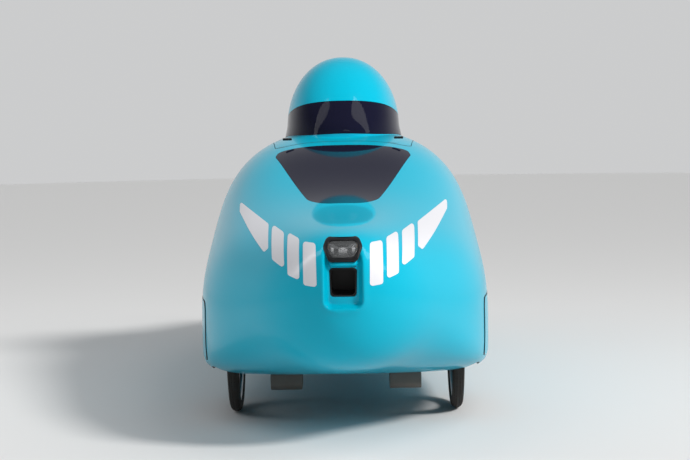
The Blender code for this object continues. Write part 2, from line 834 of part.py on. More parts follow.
def make_panels(layers, pivot, looks):
    """The window and the two wheel covers, each a piece of the skin that rests on its ledge."""
    high = DECK_HEIGHT + HOOD_HEIGHT
    window = copied(layers["skin"], "deck_window")
    cut(window, layers["panel"])
    kept(window, tool("window_panel", prism("panel", window_outline(), "Z", SPLIT_HEIGHT, high)))
    dressed(window, pivot, looks["glazing"])
    for name, sign in SIDES:
        start, end = sorted((sign * HALF_WIDTH * 0.6, sign * BODY_WIDTH))
        cover = copied(layers["skin"], "wheel_cover_" + name)
        cut(cover, layers["panel"])
        kept(cover, tool("cover_panel_" + name, prism("panel", cover_outline(), "X", start, end)))
        dressed(cover, pivot, looks["paint"])


def make_nose_fittings(layers, pivot, looks):
    ahead = NOSE_Y - OVERRUN
    bezel = tool("headlamp_bezel", prism("bezel", lamp_outline(), "Y", ahead, from_nose(LAMP_DEPTH)))
    kept(bezel, layers["skin"])
    pocket = prism("pocket", lamp_outline(-BEZEL_EDGE), "Y", ahead, from_nose(LAMP_DEPTH) + OVERRUN)
    cut(bezel, tool("lens_pocket", pocket))
    dressed(bezel, pivot, looks["black"])

    inner = body_solid("lens_front", LENS_INSET)
    lens = prism("lens", lamp_outline(-BEZEL_EDGE - REST_GAP), "Y", ahead, from_nose(LAMP_DEPTH))
    lens = tool("headlamp_lens", lens)
    kept(lens, inner)
    dressed(lens, pivot, looks["lens"])

    duct = tool("air_inlet_duct", prism("duct", inlet_outline(), "Y", ahead, from_nose(INLET_DEPTH)))
    kept(duct, layers["skin"])
    bore = prism("bore", inlet_outline(-INLET_WALL), "Y", ahead - OVERRUN, from_nose(INLET_DEPTH) + OVERRUN)
    cut(duct, tool("duct_bore", bore))
    dressed(duct, pivot, looks["black"])


def make_tail_lamp(layers, pivot, looks):
    block = box(
        (-HALF_WIDTH, TAIL_Y - TAIL_LAMP_LENGTH, TAIL_LAMP_LOW),
        (HALF_WIDTH, TAIL_Y + OVERRUN, TAIL_LAMP_HIGH),
    )
    lamp = tool("tail_lamp", block)
    kept(lamp, layers["skin"])
    dressed(lamp, pivot, looks["red_lens"])


def visor_outline(grow=0.0):
    """Side view of the part of the hood that is glazed."""
    front = along(HOOD_FRONT_SHARE)
    rear = front + VISOR_REAR + grow
    slope = (VISOR_REAR_RISE - VISOR_FRONT_RISE) / VISOR_REAR
    ahead = front - HOOD_LENGTH * 0.04
    ahead_rise = VISOR_FRONT_RISE + slope * (ahead - front)
    base = deck_top(front)
    return rounded((
        (ahead, base - HOOD_SKIRT * 2, 0),
        (rear, base - HOOD_SKIRT * 2, 0),
        (rear, base + VISOR_REAR_RISE + grow, VISOR_REAR_RISE * 0.5),
        (ahead, base + ahead_rise + grow, 0),
    ))


def make_hood(layers, pivot, looks):
    """The lid over the entry with the rider's head fairing on it, and its wrap-round visor."""
    high = DECK_HEIGHT + HOOD_HEIGHT
    outside = hood_solid("hood_outside")
    inside = hood_solid("hood_inside", HOOD_WALL)

    lid = tool("hood_shell", layers["skin"].data.copy())
    cut(lid, layers["panel"])
    kept(lid, tool("lid_panel", prism("panel", lid_outline(), "Z", SPLIT_HEIGHT, high)))
    dome = copied(outside, "dome")
    cut(dome, layers["middle"])
    joined(lid, dome)
    cut(lid, inside)
    for _, sign in SIDES:
        leaf = lid_leaf(sign)
        cut(leaf, layers["middle"])
        joined(lid, leaf)
    glazed = prism("glazed", visor_outline(SEAM_GAP), "X", -BODY_WIDTH, BODY_WIDTH)
    glazed = tool("visor_opening", glazed)
    cut(glazed, layers["over"])
    cut(lid, glazed)
    dressed(lid, pivot, looks["paint"])

    visor = copied(outside, "visor")
    cut(visor, inside, body_solid("visor_seat", -REST_GAP * 2))
    kept(visor, tool("visor_panel", prism("panel", visor_outline(), "X", -BODY_WIDTH, BODY_WIDTH)))
    dressed(visor, pivot, looks["glazing"])


def make_wheel_boxes(layers, pivot, looks):
    """The boxes that close the wheel arches off from the cabin, open below and towards the skin."""
    inner = KINGPIN_X - BOX_INSIDE
    for name, sign in SIDES:
        walls = []
        for grow in (BOX_WALL, 0.0):
            outline = arch_outline(FRONT_AXLE, FRONT_TYRE_RADIUS + ARCH_RISE, grow)
            start, end = sorted((sign * (inner - grow), sign * BODY_WIDTH))
            walls.append(tool("arch_form", prism("arch_form", outline, "X", start, end)))
        wheel_box, void = walls
        kept(wheel_box, layers["fit"])
        cut(wheel_box, void)
        y = FRONT_AXLE.y + STEER_ARM
        rod_hole = rod(
            (sign * (inner - OVERRUN), y, ROD_HEIGHT), (sign * (inner + OVERRUN), y, ROD_HEIGHT),
            ROD_RADIUS * 2.6,
        )
        cut(wheel_box, tool("rod_hole", rod_hole))
        wheel_box.name = "wheel_box_" + name
        dressed(wheel_box, pivot, looks["carbon"])

    walls = []
    for grow in (BOX_WALL, 0.0):
        outline = arch_outline(REAR_AXLE, REAR_TYRE_RADIUS + ARCH_RISE, grow, REAR_BOX_AHEAD)
        half = REAR_BOX_HALF + grow
        walls.append(tool("rear_form", prism("rear_form", outline, "X", -half, half)))
    wheel_box, void = walls
    kept(wheel_box, layers["fit"])
    cut(wheel_box, void)
    y = REAR_AXLE.y - REAR_BOX_AHEAD
    slot = box(
        (CHAIN_SIDE - CHAIN_SLOT / 2, y - OVERRUN, FLOOR_HEIGHT + OVERRUN),
        (CHAIN_SIDE + CHAIN_SLOT / 2, y + OVERRUN, REAR_AXLE.z - OVERRUN),
    )
    cut(wheel_box, tool("chain_slot", slot))
    wheel_box.name = "rear_wheel_box"
    dressed(wheel_box, pivot, looks["carbon"])


def plate(name, start, end, width, bottom, top):
    """A flat link between two points in plan, with round ends."""
    start, end = Vector(start), Vector(end)
    along = (end - start).normalized()
    across = Vector((-along.y, along.x)) * width / 2
    outline = []
    for centre, first in ((end, -across), (start, across)):
        for k in range(7):
            turned_by = Matrix.Rotation(math.pi * k / 6, 2)
            outline.append(tuple(centre + turned_by @ first))
    return tool(name, prism(name, outline, "Z", bottom, top))


def make_front_axle(layers, pivots, looks):
    chassis = pivots["chassis"]
    inner = KINGPIN_X - BOX_INSIDE - BOX_WALL - REST_GAP
    y = FRONT_AXLE.y
    beam = tool("cross_beam", box((-inner, y - BEAM_HALF, 0), (inner, y + BEAM_HALF, BEAM_TOP)))
    kept(beam, layers["fit"])
    dressed(beam, chassis, looks["carbon"])
    ceiling = FRONT_AXLE.z + FRONT_TYRE_RADIUS + ARCH_RISE
    wall = KINGPIN_X - BOX_INSIDE + REST_GAP
    knuckle_top = KNUCKLE_BOTTOM + KNUCKLE_LENGTH
    for name, sign in SIDES:
        x = sign * KINGPIN_X
        strut = tool("strut_" + name, rod(
            (x, y, knuckle_top + BEARING_GAP), (x, y, ceiling), STRUT_RADIUS, 12,
        ))
        for k in range(2):
            z = knuckle_top + STRUT_RADIUS * (1.2 + 3.2 * k)
            collar = rod((x, y, z), (x, y, z + STRUT_RADIUS * 0.5), STRUT_RADIUS * 1.35, 12)
            joined(strut, tool("collar", collar))
        room = arch_outline(FRONT_AXLE, FRONT_TYRE_RADIUS + ARCH_RISE, -REST_GAP)
        kept(strut, tool("strut_room", prism("room", room, "X", -HALF_WIDTH, HALF_WIDTH)))
        dressed(strut, chassis, looks["black"])

        low = KNUCKLE_BOTTOM - CONTROL_ARM_RADIUS - BEARING_GAP
        arm = tool("lower_arm_" + name, rod(
            (x, y, low - CONTROL_ARM_RADIUS), (x, y, low + CONTROL_ARM_RADIUS), KNUCKLE_RADIUS,
        ))
        for end in (-1, 1):
            foot = (sign * wall, y + end * STEER_ARM, low)
            joined(arm, tool("leg", rod((x, y, low), foot, CONTROL_ARM_RADIUS, 10)))
        face = box(
            (-wall, y - 2 * STEER_ARM, low - 3 * CONTROL_ARM_RADIUS),
            (wall, y + 2 * STEER_ARM, low + 3 * CONTROL_ARM_RADIUS),
        )
        cut(arm, tool("wall_face", face))
        dressed(arm, chassis, looks["steel"])

        knuckle = tool("knuckle_" + name, rod(
            (x, y, KNUCKLE_BOTTOM), (x, y, knuckle_top), KNUCKLE_RADIUS, 16,
        ))
        axle_end = sign * (FRONT_AXLE.x + FRONT_TYRE_WIDTH / 2)
        joined(knuckle, tool("stub", rod(
            (x, y, FRONT_AXLE.z), (axle_end, y, FRONT_AXLE.z), AXLE_RADIUS, 16,
        )))
        plate_face = FRONT_AXLE.x - DRUM_OFFSET - BRAKE_GAP
        joined(knuckle, tool("back_plate", rod(
            (sign * plate_face, y, FRONT_AXLE.z), (sign * (plate_face - BACK_PLATE), y, FRONT_AXLE.z),
            DRUM_RADIUS, 24,
        )))
        top = EYE_BOTTOM - BEARING_GAP
        bottom = top - PLATE_THICKNESS
        joined(knuckle, plate("arm", (x, y), (x, y + STEER_ARM), EYE_RADIUS * 2, bottom, top))
        joined(knuckle, tool("pin", rod(
            (x, y + STEER_ARM, top - PLATE_THICKNESS / 2),
            (x, y + STEER_ARM, EYE_BOTTOM + EYE_HEIGHT + BEARING_GAP), PIN_RADIUS,
        )))
        dressed(knuckle, pivots["knuckle_" + name], looks["alloy"])

        lift = 0 if sign > 0 else EYE_HEIGHT + BEARING_GAP
        outer_eye = Vector((x, y + STEER_ARM, ROD_HEIGHT))
        inner_eye = Vector((0, y + STEER_ARM, ROD_HEIGHT + lift))
        link = tool("tie_rod_" + name, rod(outer_eye, inner_eye, ROD_RADIUS * 0.8, 10))
        for eye in (outer_eye, inner_eye):
            half = Vector((0, 0, EYE_HEIGHT / 2))
            joined(link, tool("eye", rod(eye - half, eye + half, EYE_RADIUS, 16)))
        for eye in (outer_eye, inner_eye):
            reach = Vector((0, 0, EYE_HEIGHT))
            cut(link, tool("eye_bore", rod(eye - reach, eye + reach, PIN_RADIUS + BEARING_GAP, 12)))
        dressed(link, pivots["tie_rod_" + name], looks["steel"])


def make_tiller(pivot, looks):
    y = FRONT_AXLE.y
    bottom = BEAM_TOP + PLATE_LIFT
    top = bottom + PLATE_THICKNESS
    tiller = plate("tiller", (0, y), (0, y + STEER_ARM), EYE_RADIUS * 2, bottom, top)
    pin_top = EYE_BOTTOM + 2 * (EYE_HEIGHT + BEARING_GAP)
    joined(tiller, tool("pin", rod(
        (0, y + STEER_ARM, top - PLATE_THICKNESS / 2), (0, y + STEER_ARM, pin_top), PIN_RADIUS,
    )))
    knee = Vector((0, y, BEAM_TOP + TILLER_KNEE))
    lap = knee - Vector((0, 0, TILLER_RADIUS * 0.4))
    joined(tiller, tool("post", rod((0, y, bottom), knee, TILLER_RADIUS, 14)))
    joined(tiller, tool("column", rod(lap, TILLER_GRIP, TILLER_RADIUS * 0.97, 14)))
    for end in (-1, 1):
        tip = TILLER_GRIP + Vector((end * GRIP_REACH, GRIP_REACH * 0.3, 0))
        joined(tiller, tool("bar", rod(TILLER_GRIP, tip, TILLER_RADIUS * 0.9, 12)))
        grip_end = tip + Vector((0, -GRIP_REACH * 0.2, GRIP_REACH))
        joined(tiller, tool("grip", rod(tip - Vector((0, 0, TILLER_RADIUS)), grip_end, GRIP_RADIUS, 12)))
    dressed(tiller, pivot, looks["black"])


def wire_wheel(name, centre, rim_radius, hub_half, disc, spokes, pivot, looks, bore):
    """Rim, hub and radial spokes joined as one piece, with a clear bore for the axle."""
    steps = TYRE_SEGMENTS
    half = RIM_WIDTH / 2
    rim_inner = rim_radius - RIM_DEPTH
    rim = turned(name + "_rim", (
        (rim_radius, -half), (rim_radius, half), (rim_inner, half * 0.4), (rim_inner, -half * 0.4),
    ), centre, steps)
    hub_profile = [(bore, -hub_half), (bore, hub_half)]
    flange_r = bore * 2.9
    flange_face = hub_half - HUB_FLANGE
    barrel = bore * 1.7
    hub_profile += [
        (flange_r, hub_half), (flange_r, flange_face), (barrel, flange_face - HUB_TAPER),
        (barrel, HUB_TAPER - flange_face), (flange_r, -flange_face), (flange_r, -hub_half),
    ]
    if disc:
        disc = turned(name + "_disc", disc, centre, 24)
    hub = turned(name, hub_profile, centre, 16)
    bm = bmesh.new()
    for k in range(spokes):
        angle = math.tau * (k + 0.5) / spokes
        out = Vector((0, math.sin(angle), math.cos(angle)))
        lean = (hub_half - HUB_FLANGE / 2) * (1 if k % 2 else -1)
        start = centre + out * (flange_r * 0.86) + Vector((lean, 0, 0))
        end = centre + out * (rim_inner + RIM_DEPTH * 0.35)
        stick = bmesh.new()
        stick.from_mesh(rod(start, end, SPOKE_THICKNESS / 2 * math.sqrt(2), 3))
        mesh = bpy.data.meshes.new("spoke")
        stick.to_mesh(mesh)
        stick.free()
        bm.from_mesh(mesh)
    cage = tool(name + "_spokes", mesh_from(bm, "spokes"))
    if disc:
        joined(hub, disc)
    joined(hub, cage)
    joined(hub, rim)
    dressed(hub, pivot, looks["alloy"])
    return hub


def make_tyre(name, centre, radius, width, rim_radius, pivot, looks):
    inner = rim_radius + REST_GAP
    half = width / 2
    deep = radius - inner
    profile = (
        (inner, -RIM_WIDTH * 0.45), (inner, RIM_WIDTH * 0.45), (inner + deep * 0.55, half),
        (radius, half * 0.3), (radius, -half * 0.3), (inner + deep * 0.55, -half),
    )
    dressed(turned(name, profile, centre, TYRE_SEGMENTS), pivot, looks["rubber"])


def make_wheels(pivots, looks):
    for name, sign in SIDES:
        centre = Vector((sign * FRONT_AXLE.x, FRONT_AXLE.y, FRONT_AXLE.z))
        pivot = pivots["front_wheel_" + name]
        bore = AXLE_RADIUS + BEARING_GAP
        drum = (
            (bore, -sign * (DRUM_OFFSET - DRUM_WIDTH)), (bore, -sign * DRUM_OFFSET),
            (DRUM_RADIUS, -sign * DRUM_OFFSET), (DRUM_RADIUS, -sign * (DRUM_OFFSET - DRUM_WIDTH)),
        )
        wire_wheel(
            "front_rim_" + name, centre, FRONT_RIM_RADIUS, FRONT_HUB_HALF, drum, 12, pivot, looks, bore,
        )
        make_tyre(
            "front_tyre_" + name, centre, FRONT_TYRE_RADIUS, FRONT_TYRE_WIDTH, FRONT_RIM_RADIUS,
            pivot, looks,
        )
    bore = REAR_AXLE_RADIUS + BEARING_GAP
    inner, outer = BOX_WALL - REAR_HUB_HALF, CHAIN_SIDE - CHAIN_WIDTH
    body = SPROCKET_RADIUS * 0.65
    sprocket = (
        (bore, inner), (bore, outer), (body, outer), (SPROCKET_RADIUS, CHAIN_SIDE - RING_THICKNESS / 2),
        (SPROCKET_RADIUS, CHAIN_SIDE + RING_THICKNESS / 2), (body, CHAIN_SIDE + CHAIN_WIDTH), (body, inner),
    )
    pivot = pivots["rear_wheel"]
    wire_wheel("rear_rim", REAR_AXLE, REAR_RIM_RADIUS, REAR_HUB_HALF, sprocket, 16, pivot, looks, bore)
    make_tyre("rear_tyre", REAR_AXLE, REAR_TYRE_RADIUS, REAR_TYRE_WIDTH, REAR_RIM_RADIUS, pivot, looks)


def make_rear_end(pivot, looks):
    """The swinging arm that carries the rear axle, and the shock absorber beside the wheel."""
    arm = tool("swing_arm", rod(
        (-REAR_AXLE_HALF, *SWING_PIVOT), (REAR_AXLE_HALF, *SWING_PIVOT), SWING_TUBE, 16,
    ))
    for sign in (-1, 1):
        x = sign * (REAR_AXLE_HALF - SWING_BAR)
        joined(arm, tool("leg", rod((x, *SWING_PIVOT), (x, REAR_AXLE.y, REAR_AXLE.z), SWING_BAR, 12)))
    joined(arm, tool("axle", rod(
        (-REAR_AXLE_HALF + SWING_BAR, REAR_AXLE.y, REAR_AXLE.z),
        (REAR_AXLE_HALF - SWING_BAR, REAR_AXLE.y, REAR_AXLE.z), REAR_AXLE_RADIUS, 16,
    )))
    for sign in (-1, 1):
        x = sign * (REAR_AXLE_HALF - SWING_BAR)
        end = sign * (REAR_BOX_HALF - REST_GAP)
        joined(arm, tool("boss", rod((x, *SWING_PIVOT), (end, *SWING_PIVOT), SWING_TUBE * 0.8, 16)))
    foot_y = (SWING_PIVOT[0] + REAR_AXLE.y) / 2
    foot_z = (SWING_PIVOT[1] + REAR_AXLE.z) / 2
    lug = box(
        (SHOCK_SIDE - SHOCK_RADIUS, foot_y - SHOCK_RADIUS, foot_z - SWING_BAR / 2),
        (REAR_AXLE_HALF - SWING_BAR, foot_y + SHOCK_RADIUS, foot_z + SWING_BAR),
    )
    joined(arm, tool("shock_lug", lug))
    dressed(arm, pivot, looks["alloy"])

    top = REAR_AXLE.z + math.sqrt((REAR_TYRE_RADIUS + ARCH_RISE) ** 2 - (foot_y - REAR_AXLE.y) ** 2)
    base = foot_z + SWING_BAR + REST_GAP
    length = top - base
    shock = tool("rear_shock", rod(
        (SHOCK_SIDE, foot_y, base), (SHOCK_SIDE, foot_y, base + length), SHOCK_RADIUS * 0.5, 10,
    ))
    for k in range(4):
        z = base + length * (0.18 + 0.17 * k)
        joined(shock, tool("coil", rod(
            (SHOCK_SIDE, foot_y, z), (SHOCK_SIDE, foot_y, z + length * 0.08), SHOCK_RADIUS, 12,
        )))
    room = arch_outline(REAR_AXLE, REAR_TYRE_RADIUS + ARCH_RISE, -REST_GAP, REAR_BOX_AHEAD)
    kept(shock, tool("shock_room", prism("room", room, "X", -REAR_BOX_HALF, REAR_BOX_HALF)))
    dressed(shock, pivot, looks["steel"])


def make_mast(layers, pivot, looks):
    """The post that carries the crank bearing, standing on the floor behind the nose."""
    bearing = BEARING_HALF
    mast = tool("crank_mast", rod(
        CRANK_AXIS - Vector((bearing, 0, 0)), CRANK_AXIS + Vector((bearing, 0, 0)), BEARING_TUBE, 20,
    ))
    for foot in (-MAST_SPREAD, MAST_SPREAD):
        start = CRANK_AXIS + Vector((0, 0, -BEARING_TUBE * 0.5))
        end = Vector((0, CRANK_AXIS.y + foot, 0))
        leg = tool("leg", rod(start, end, MAST_RADIUS, 14))
        kept(leg, layers["fit"])
        joined(mast, leg)
    bore = rod(
        CRANK_AXIS - Vector((bearing * 2, 0, 0)), CRANK_AXIS + Vector((bearing * 2, 0, 0)),
        SPINDLE_RADIUS + BEARING_GAP, 16,
    )
    cut(mast, tool("spindle_bore", bore))
    dressed(mast, pivot, looks["alloy"])


def make_crankset(pivots, looks):
    axis = CRANK_AXIS
    cranks = tool("crankset", rod(
        axis - Vector((CRANK_OUT + CRANK_WIDTH / 2, 0, 0)),
        axis + Vector((CRANK_OUT + CRANK_WIDTH / 2, 0, 0)), SPINDLE_RADIUS, 16,
    ))
    ring = (
        (SPINDLE_RADIUS * 0.7, CHAIN_SIDE - RING_THICKNESS / 2),
        (SPINDLE_RADIUS * 0.7, CHAIN_SIDE + RING_THICKNESS / 2),
        (CHAINRING_RADIUS, CHAIN_SIDE + RING_THICKNESS / 2),
        (CHAINRING_RADIUS, CHAIN_SIDE - RING_THICKNESS / 2),
    )
    joined(cranks, turned("chainring", ring, axis, 32))
    for name, sign in SIDES:
        end = axis + Vector((0, sign * CRANK_LENGTH, 0))
        low = Vector((sign * CRANK_OUT, 0, 0)) - Vector((CRANK_WIDTH / 2, 0, 0))
        high = low + Vector((CRANK_WIDTH, 0, 0))
        outline = []
        for centre, first, radius in ((end, -1, CRANK_EYE), (axis, 1, CRANK_EYE * 1.3)):
            for k in range(9):
                angle = math.pi * (k / 8 - 0.5)
                outline.append((
                    centre.y - first * sign * radius * math.cos(angle),
                    centre.z + first * radius * math.sin(angle),
                ))
        joined(cranks, tool("arm", prism("arm", outline, "X", low.x, high.x)))
        pin_start = end + low + Vector((CRANK_WIDTH / 2, 0, 0))
        pin_end = end + Vector((sign * PEDAL_OUT, 0, 0))
        joined(cranks, tool("pedal_pin", rod(pin_start, pin_end, PIN_RADIUS, 12)))
    dressed(cranks, pivots["crankset"], looks["alloy"])

    for name, sign in SIDES:
        start, stop = sorted((sign * PEDAL_IN, sign * (PEDAL_OUT + BEARING_GAP)))
        centre = axis + Vector((0, sign * CRANK_LENGTH, 0))
        half = Vector((0, PEDAL_LENGTH / 2, PEDAL_THICKNESS / 2))
        pedal = tool("pedal_" + name, box(
            Vector((start, centre.y, centre.z)) - half, Vector((stop, centre.y, centre.z)) + half,
        ))
        for end in (-1, 1):
            hole_y = centre.y + end * PEDAL_LENGTH * 0.3
            window = box(
                (start + PEDAL_THICKNESS / 2, hole_y - PEDAL_LENGTH * 0.12, centre.z - half.z * 2),
                (stop - PEDAL_THICKNESS / 2, hole_y + PEDAL_LENGTH * 0.12, centre.z + half.z * 2),
            )
            cut(pedal, tool("pedal_window", window))
        bore = rod(
            centre + Vector((sign * (PEDAL_IN - OVERRUN), 0, 0)),
            centre + Vector((sign * (PEDAL_OUT + OVERRUN), 0, 0)), PIN_RADIUS + BEARING_GAP, 12,
        )
        cut(pedal, tool("pedal_bore", bore))
        dressed(pedal, pivots["pedal_" + name], looks["black"])


def wrap(axle, radius, arrives, leaves, steps):
    """The (y, z) points of the arc that a chain follows round a wheel, between its two straight runs."""
    angles = []
    for point, side in ((arrives, 1), (leaves, -1)):
        away = Vector((point[0] - axle.y, point[1] - axle.z))
        angles.append(math.atan2(away.y, away.x) + side * math.acos(radius / away.length))
    first, last = angles
    while last < first:
        last += math.tau
    return [
        (axle.y + radius * math.cos(a), axle.z + radius * math.sin(a))
        for a in (first + (last - first) * k / steps for k in range(steps + 1))
    ]


def chain_path(grow):
    """The chain's loop as a closed (y, z) outline, moved outwards by grow."""
    runs = []
    for run, side in ((CHAIN_LOWER, -1), (CHAIN_UPPER, 1)):
        bent = smoothed([(0, *p) for p in run], GUIDE_BEND)
        runs.append([(y, z + side * grow) for _, y, z in bent])
    lower, upper = runs
    ring, sprocket = CHAINRING_RADIUS + BEARING_GAP + grow, SPROCKET_RADIUS + BEARING_GAP + grow
    front = wrap(CRANK_AXIS, ring, upper[-1], lower[0], 20)
    rear = wrap(REAR_AXLE, sprocket, lower[-1], upper[0], 12)
    return front + lower + rear + upper


def make_chain(pivot, looks):
    """The chain as one band round both of its wheels, with the guide tubes under the seat."""
    low, high = CHAIN_SIDE - CHAIN_WIDTH / 2, CHAIN_SIDE + CHAIN_WIDTH / 2
    band = tool("chain", prism("chain", chain_path(CHAIN_DEPTH), "X", low, high))
    cut(band, tool("chain_inside", prism("inside", chain_path(0.0), "X", low - OVERRUN, high + OVERRUN)))
    for run, side in ((CHAIN_LOWER, -1), (CHAIN_UPPER, 1)):
        middle = side * CHAIN_DEPTH / 2
        path = [Vector((CHAIN_SIDE, y, z + middle)) for y, z in run]
        path[0] = path[0].lerp(path[1], 0.1)
        path[-1] = path[-1].lerp(path[-2], 0.1)
        joined(band, tube("guide", path, GUIDE_RADIUS, 2, GUIDE_BEND))
    dressed(band, pivot, looks["steel"])


def offset_path(points, distance):
    """An open (y, z) path moved to its left by a distance."""
    moved = []
    for i, here in enumerate(points):
        here = Vector(here)
        before = Vector(points[max(0, i - 1)])
        after = Vector(points[min(len(points) - 1, i + 1)])
        along = (after - before).normalized()
        moved.append(tuple(here + Vector((-along.y, along.x)) * distance))
    return moved


def make_seat(layers, pivot, looks):
    """The seat shell on two feet, its pad and the head rest."""
    line = SEAT_LINE
    half = SEAT_WIDTH / 2
    bucket = line + list(reversed(offset_path(line, SEAT_LIP)))
    seat = tool("seat", prism("seat", bucket, "X", -half, half))
    front, rear = Vector(line[0]), Vector(line[-1])
    front += (front - Vector(line[1])).normalized() * OVERRUN
    rear += (rear - Vector(line[-2])).normalized() * OVERRUN
    longer = [tuple(front), *line[1:-1], tuple(rear)]
    hollow = offset_path(longer, SEAT_WALL) + list(reversed(offset_path(longer, SEAT_LIP * 1.5)))
    cut(seat, tool("seat_hollow", prism("hollow", hollow, "X", -half + SEAT_WALL, half - SEAT_WALL)))
    for sign in (-1, 1):
        low, high = sorted((sign * SEAT_FOOT_SIDE, sign * (SEAT_FOOT_SIDE + SEAT_WALL)))
        foot_top = SEAT_LINE[2][1] + SEAT_WALL / 2
        foot = tool("foot", box((low, SEAT_FOOT[0], 0), (high, SEAT_FOOT[1], foot_top)))
        kept(foot, layers["fit"])
        joined(seat, foot)
        brace = tool("brace", prism("brace", SEAT_BRACE, "X", low, high))
        clear = arch_outline(
            REAR_AXLE, REAR_TYRE_RADIUS + ARCH_RISE, BOX_WALL + REST_GAP, REAR_BOX_AHEAD, 14,
        )
        cut(brace, tool("box_clearance", prism("clear", clear, "X", low - OVERRUN, high + OVERRUN)))
        joined(seat, brace)
    dressed(seat, pivot, looks["carbon"])

    inside = offset_path(line, SEAT_WALL + REST_GAP)
    pad = inside[1:-1] + list(reversed(offset_path(line, SEAT_WALL + PAD_THICKNESS)))[1:-1]
    half = SEAT_WIDTH / 2 - SEAT_WALL * 2
    dressed(tool("seat_pad", prism("seat_pad", pad, "X", -half, half)), pivot, looks["foam"])

    low, high = Vector(SEAT_LINE[-2]), Vector(SEAT_LINE[-1])
    upwards = (high - low).normalized()
    normal = Vector((-upwards.y, upwards.x))
    outline = []
    for reach, depth in ((-0.45, 0), (1.0, 0), (1.05, 0.8), (0.9, 1.4), (0.1, 1.6), (-0.4, 1.1)):
        lift = SEAT_WALL + REST_GAP + depth * PAD_THICKNESS
        outline.append(tuple(high + upwards * HEAD_REST * reach + normal * lift))
    half = HEAD_REST * 0.75
    head = tool("head_rest", prism("head_rest", outline, "X", -half, half))
    dressed(head, pivot, looks["foam"])


def make_heel_fairings(layers, pivot, looks):
    """The bulges below the floor that give the rider's heels room, beside the front wheel boxes."""
    front = FRONT_AXLE.y - HEEL_AHEAD - HEEL_LENGTH / 2
    rear = front + HEEL_LENGTH
    outline = rounded((
        (front, HEEL_BOTTOM + HEEL_NOSE_RISE, HEEL_CORNER),
        (front + HEEL_RAMP, HEEL_BOTTOM, HEEL_CORNER),
        (rear, HEEL_BOTTOM + HEEL_TAIL_RISE, HEEL_CORNER),
        (rear + HEEL_RAMP, HEEL_BOTTOM + HEEL_RISE, 0),
        (front, HEEL_BOTTOM + HEEL_RISE, 0),
    ), 4)
    outer = KINGPIN_X - BOX_INSIDE
    for name, sign in SIDES:
        low, high = sorted((sign * (outer - HEEL_WIDTH), sign * outer))
        fairing = tool("heel_fairing_" + name, prism("heel", outline, "X", low, high))
        cut(fairing, layers["over"])
        dressed(fairing, pivot, looks["grey"])


def make_hinges(layers, pivot, looks):
    for name, sign in SIDES:
        x = sign * HINGE_SIDE
        hinge = None
        for end in (-1, 1):
            centre = x + end * HINGE_LENGTH / 3
            half = HINGE_LENGTH / 6 - BEARING_GAP
            knuckle = tool("hinge_knuckle", rod(
                (centre - half, HINGE_AXIS.y, HINGE_AXIS.z), (centre + half, HINGE_AXIS.y, HINGE_AXIS.z),
                HINGE_RADIUS, 8,
            ))
            post = box(
                (centre - half, HINGE_AXIS.y - LEAF_LENGTH, HINGE_AXIS.z - HINGE_DROP),
                (centre + half, HINGE_AXIS.y - HINGE_RADIUS * 0.8, HINGE_AXIS.z + LEAF_THICKNESS / 2),
            )
            bridge = box(
                (centre - half, HINGE_AXIS.y - LEAF_LENGTH / 2, HINGE_AXIS.z - LEAF_THICKNESS),
                (centre + half, HINGE_AXIS.y, HINGE_AXIS.z + LEAF_THICKNESS),
            )
            joined(knuckle, tool("post", post), tool("bridge", bridge))
            if hinge is None:
                hinge = knuckle
            else:
                joined(hinge, knuckle)
        joined(hinge, tool("pin", rod(
            (x - HINGE_LENGTH / 3, HINGE_AXIS.y, HINGE_AXIS.z),
            (x + HINGE_LENGTH / 3, HINGE_AXIS.y, HINGE_AXIS.z), HINGE_PIN, 8,
        )))
        leaf = box(
            (x - HINGE_LENGTH / 2 + BEARING_GAP, HINGE_AXIS.y - LEAF_LENGTH * 1.2, HINGE_AXIS.z - HINGE_DROP),
            (x + HINGE_LENGTH / 2 - BEARING_GAP, HINGE_AXIS.y - LEAF_LENGTH / 2,
             HINGE_AXIS.z - HINGE_RADIUS * 0.6),
        )
        joined(hinge, tool("leaf", leaf))
        cut(hinge, layers["over"])
        hinge.name = "hood_hinge_" + name
        dressed(hinge, pivot, looks["black"])


def lid_leaf(sign):
    """The lid's own part of a hinge: its knuckle and the arm down onto the lid."""
    x = sign * HINGE_SIDE
    half = HINGE_LENGTH / 6 - BEARING_GAP
    leaf = tool("lid_leaf", rod(
        (x - half, HINGE_AXIS.y, HINGE_AXIS.z), (x + half, HINGE_AXIS.y, HINGE_AXIS.z), HINGE_RADIUS, 8,
    ))
    arm = box(
        (x - half, HINGE_AXIS.y, HINGE_AXIS.z - LEAF_THICKNESS),
        (x + half, HINGE_AXIS.y + LEAF_LENGTH, HINGE_AXIS.z + LEAF_THICKNESS),
    )
    post = box(
        (x - half, HINGE_AXIS.y + LEAF_LENGTH * 0.4, HINGE_AXIS.z - HINGE_DROP),
        (x + half, HINGE_AXIS.y + LEAF_LENGTH, HINGE_AXIS.z),
    )
    joined(leaf, tool("arm", arm), tool("post", post))
    bore = rod(
        (x - HINGE_LENGTH, HINGE_AXIS.y, HINGE_AXIS.z), (x + HINGE_LENGTH, HINGE_AXIS.y, HINGE_AXIS.z),
        HINGE_PIN + BEARING_GAP, 8,
    )
    return cut(leaf, tool("leaf_bore", bore))


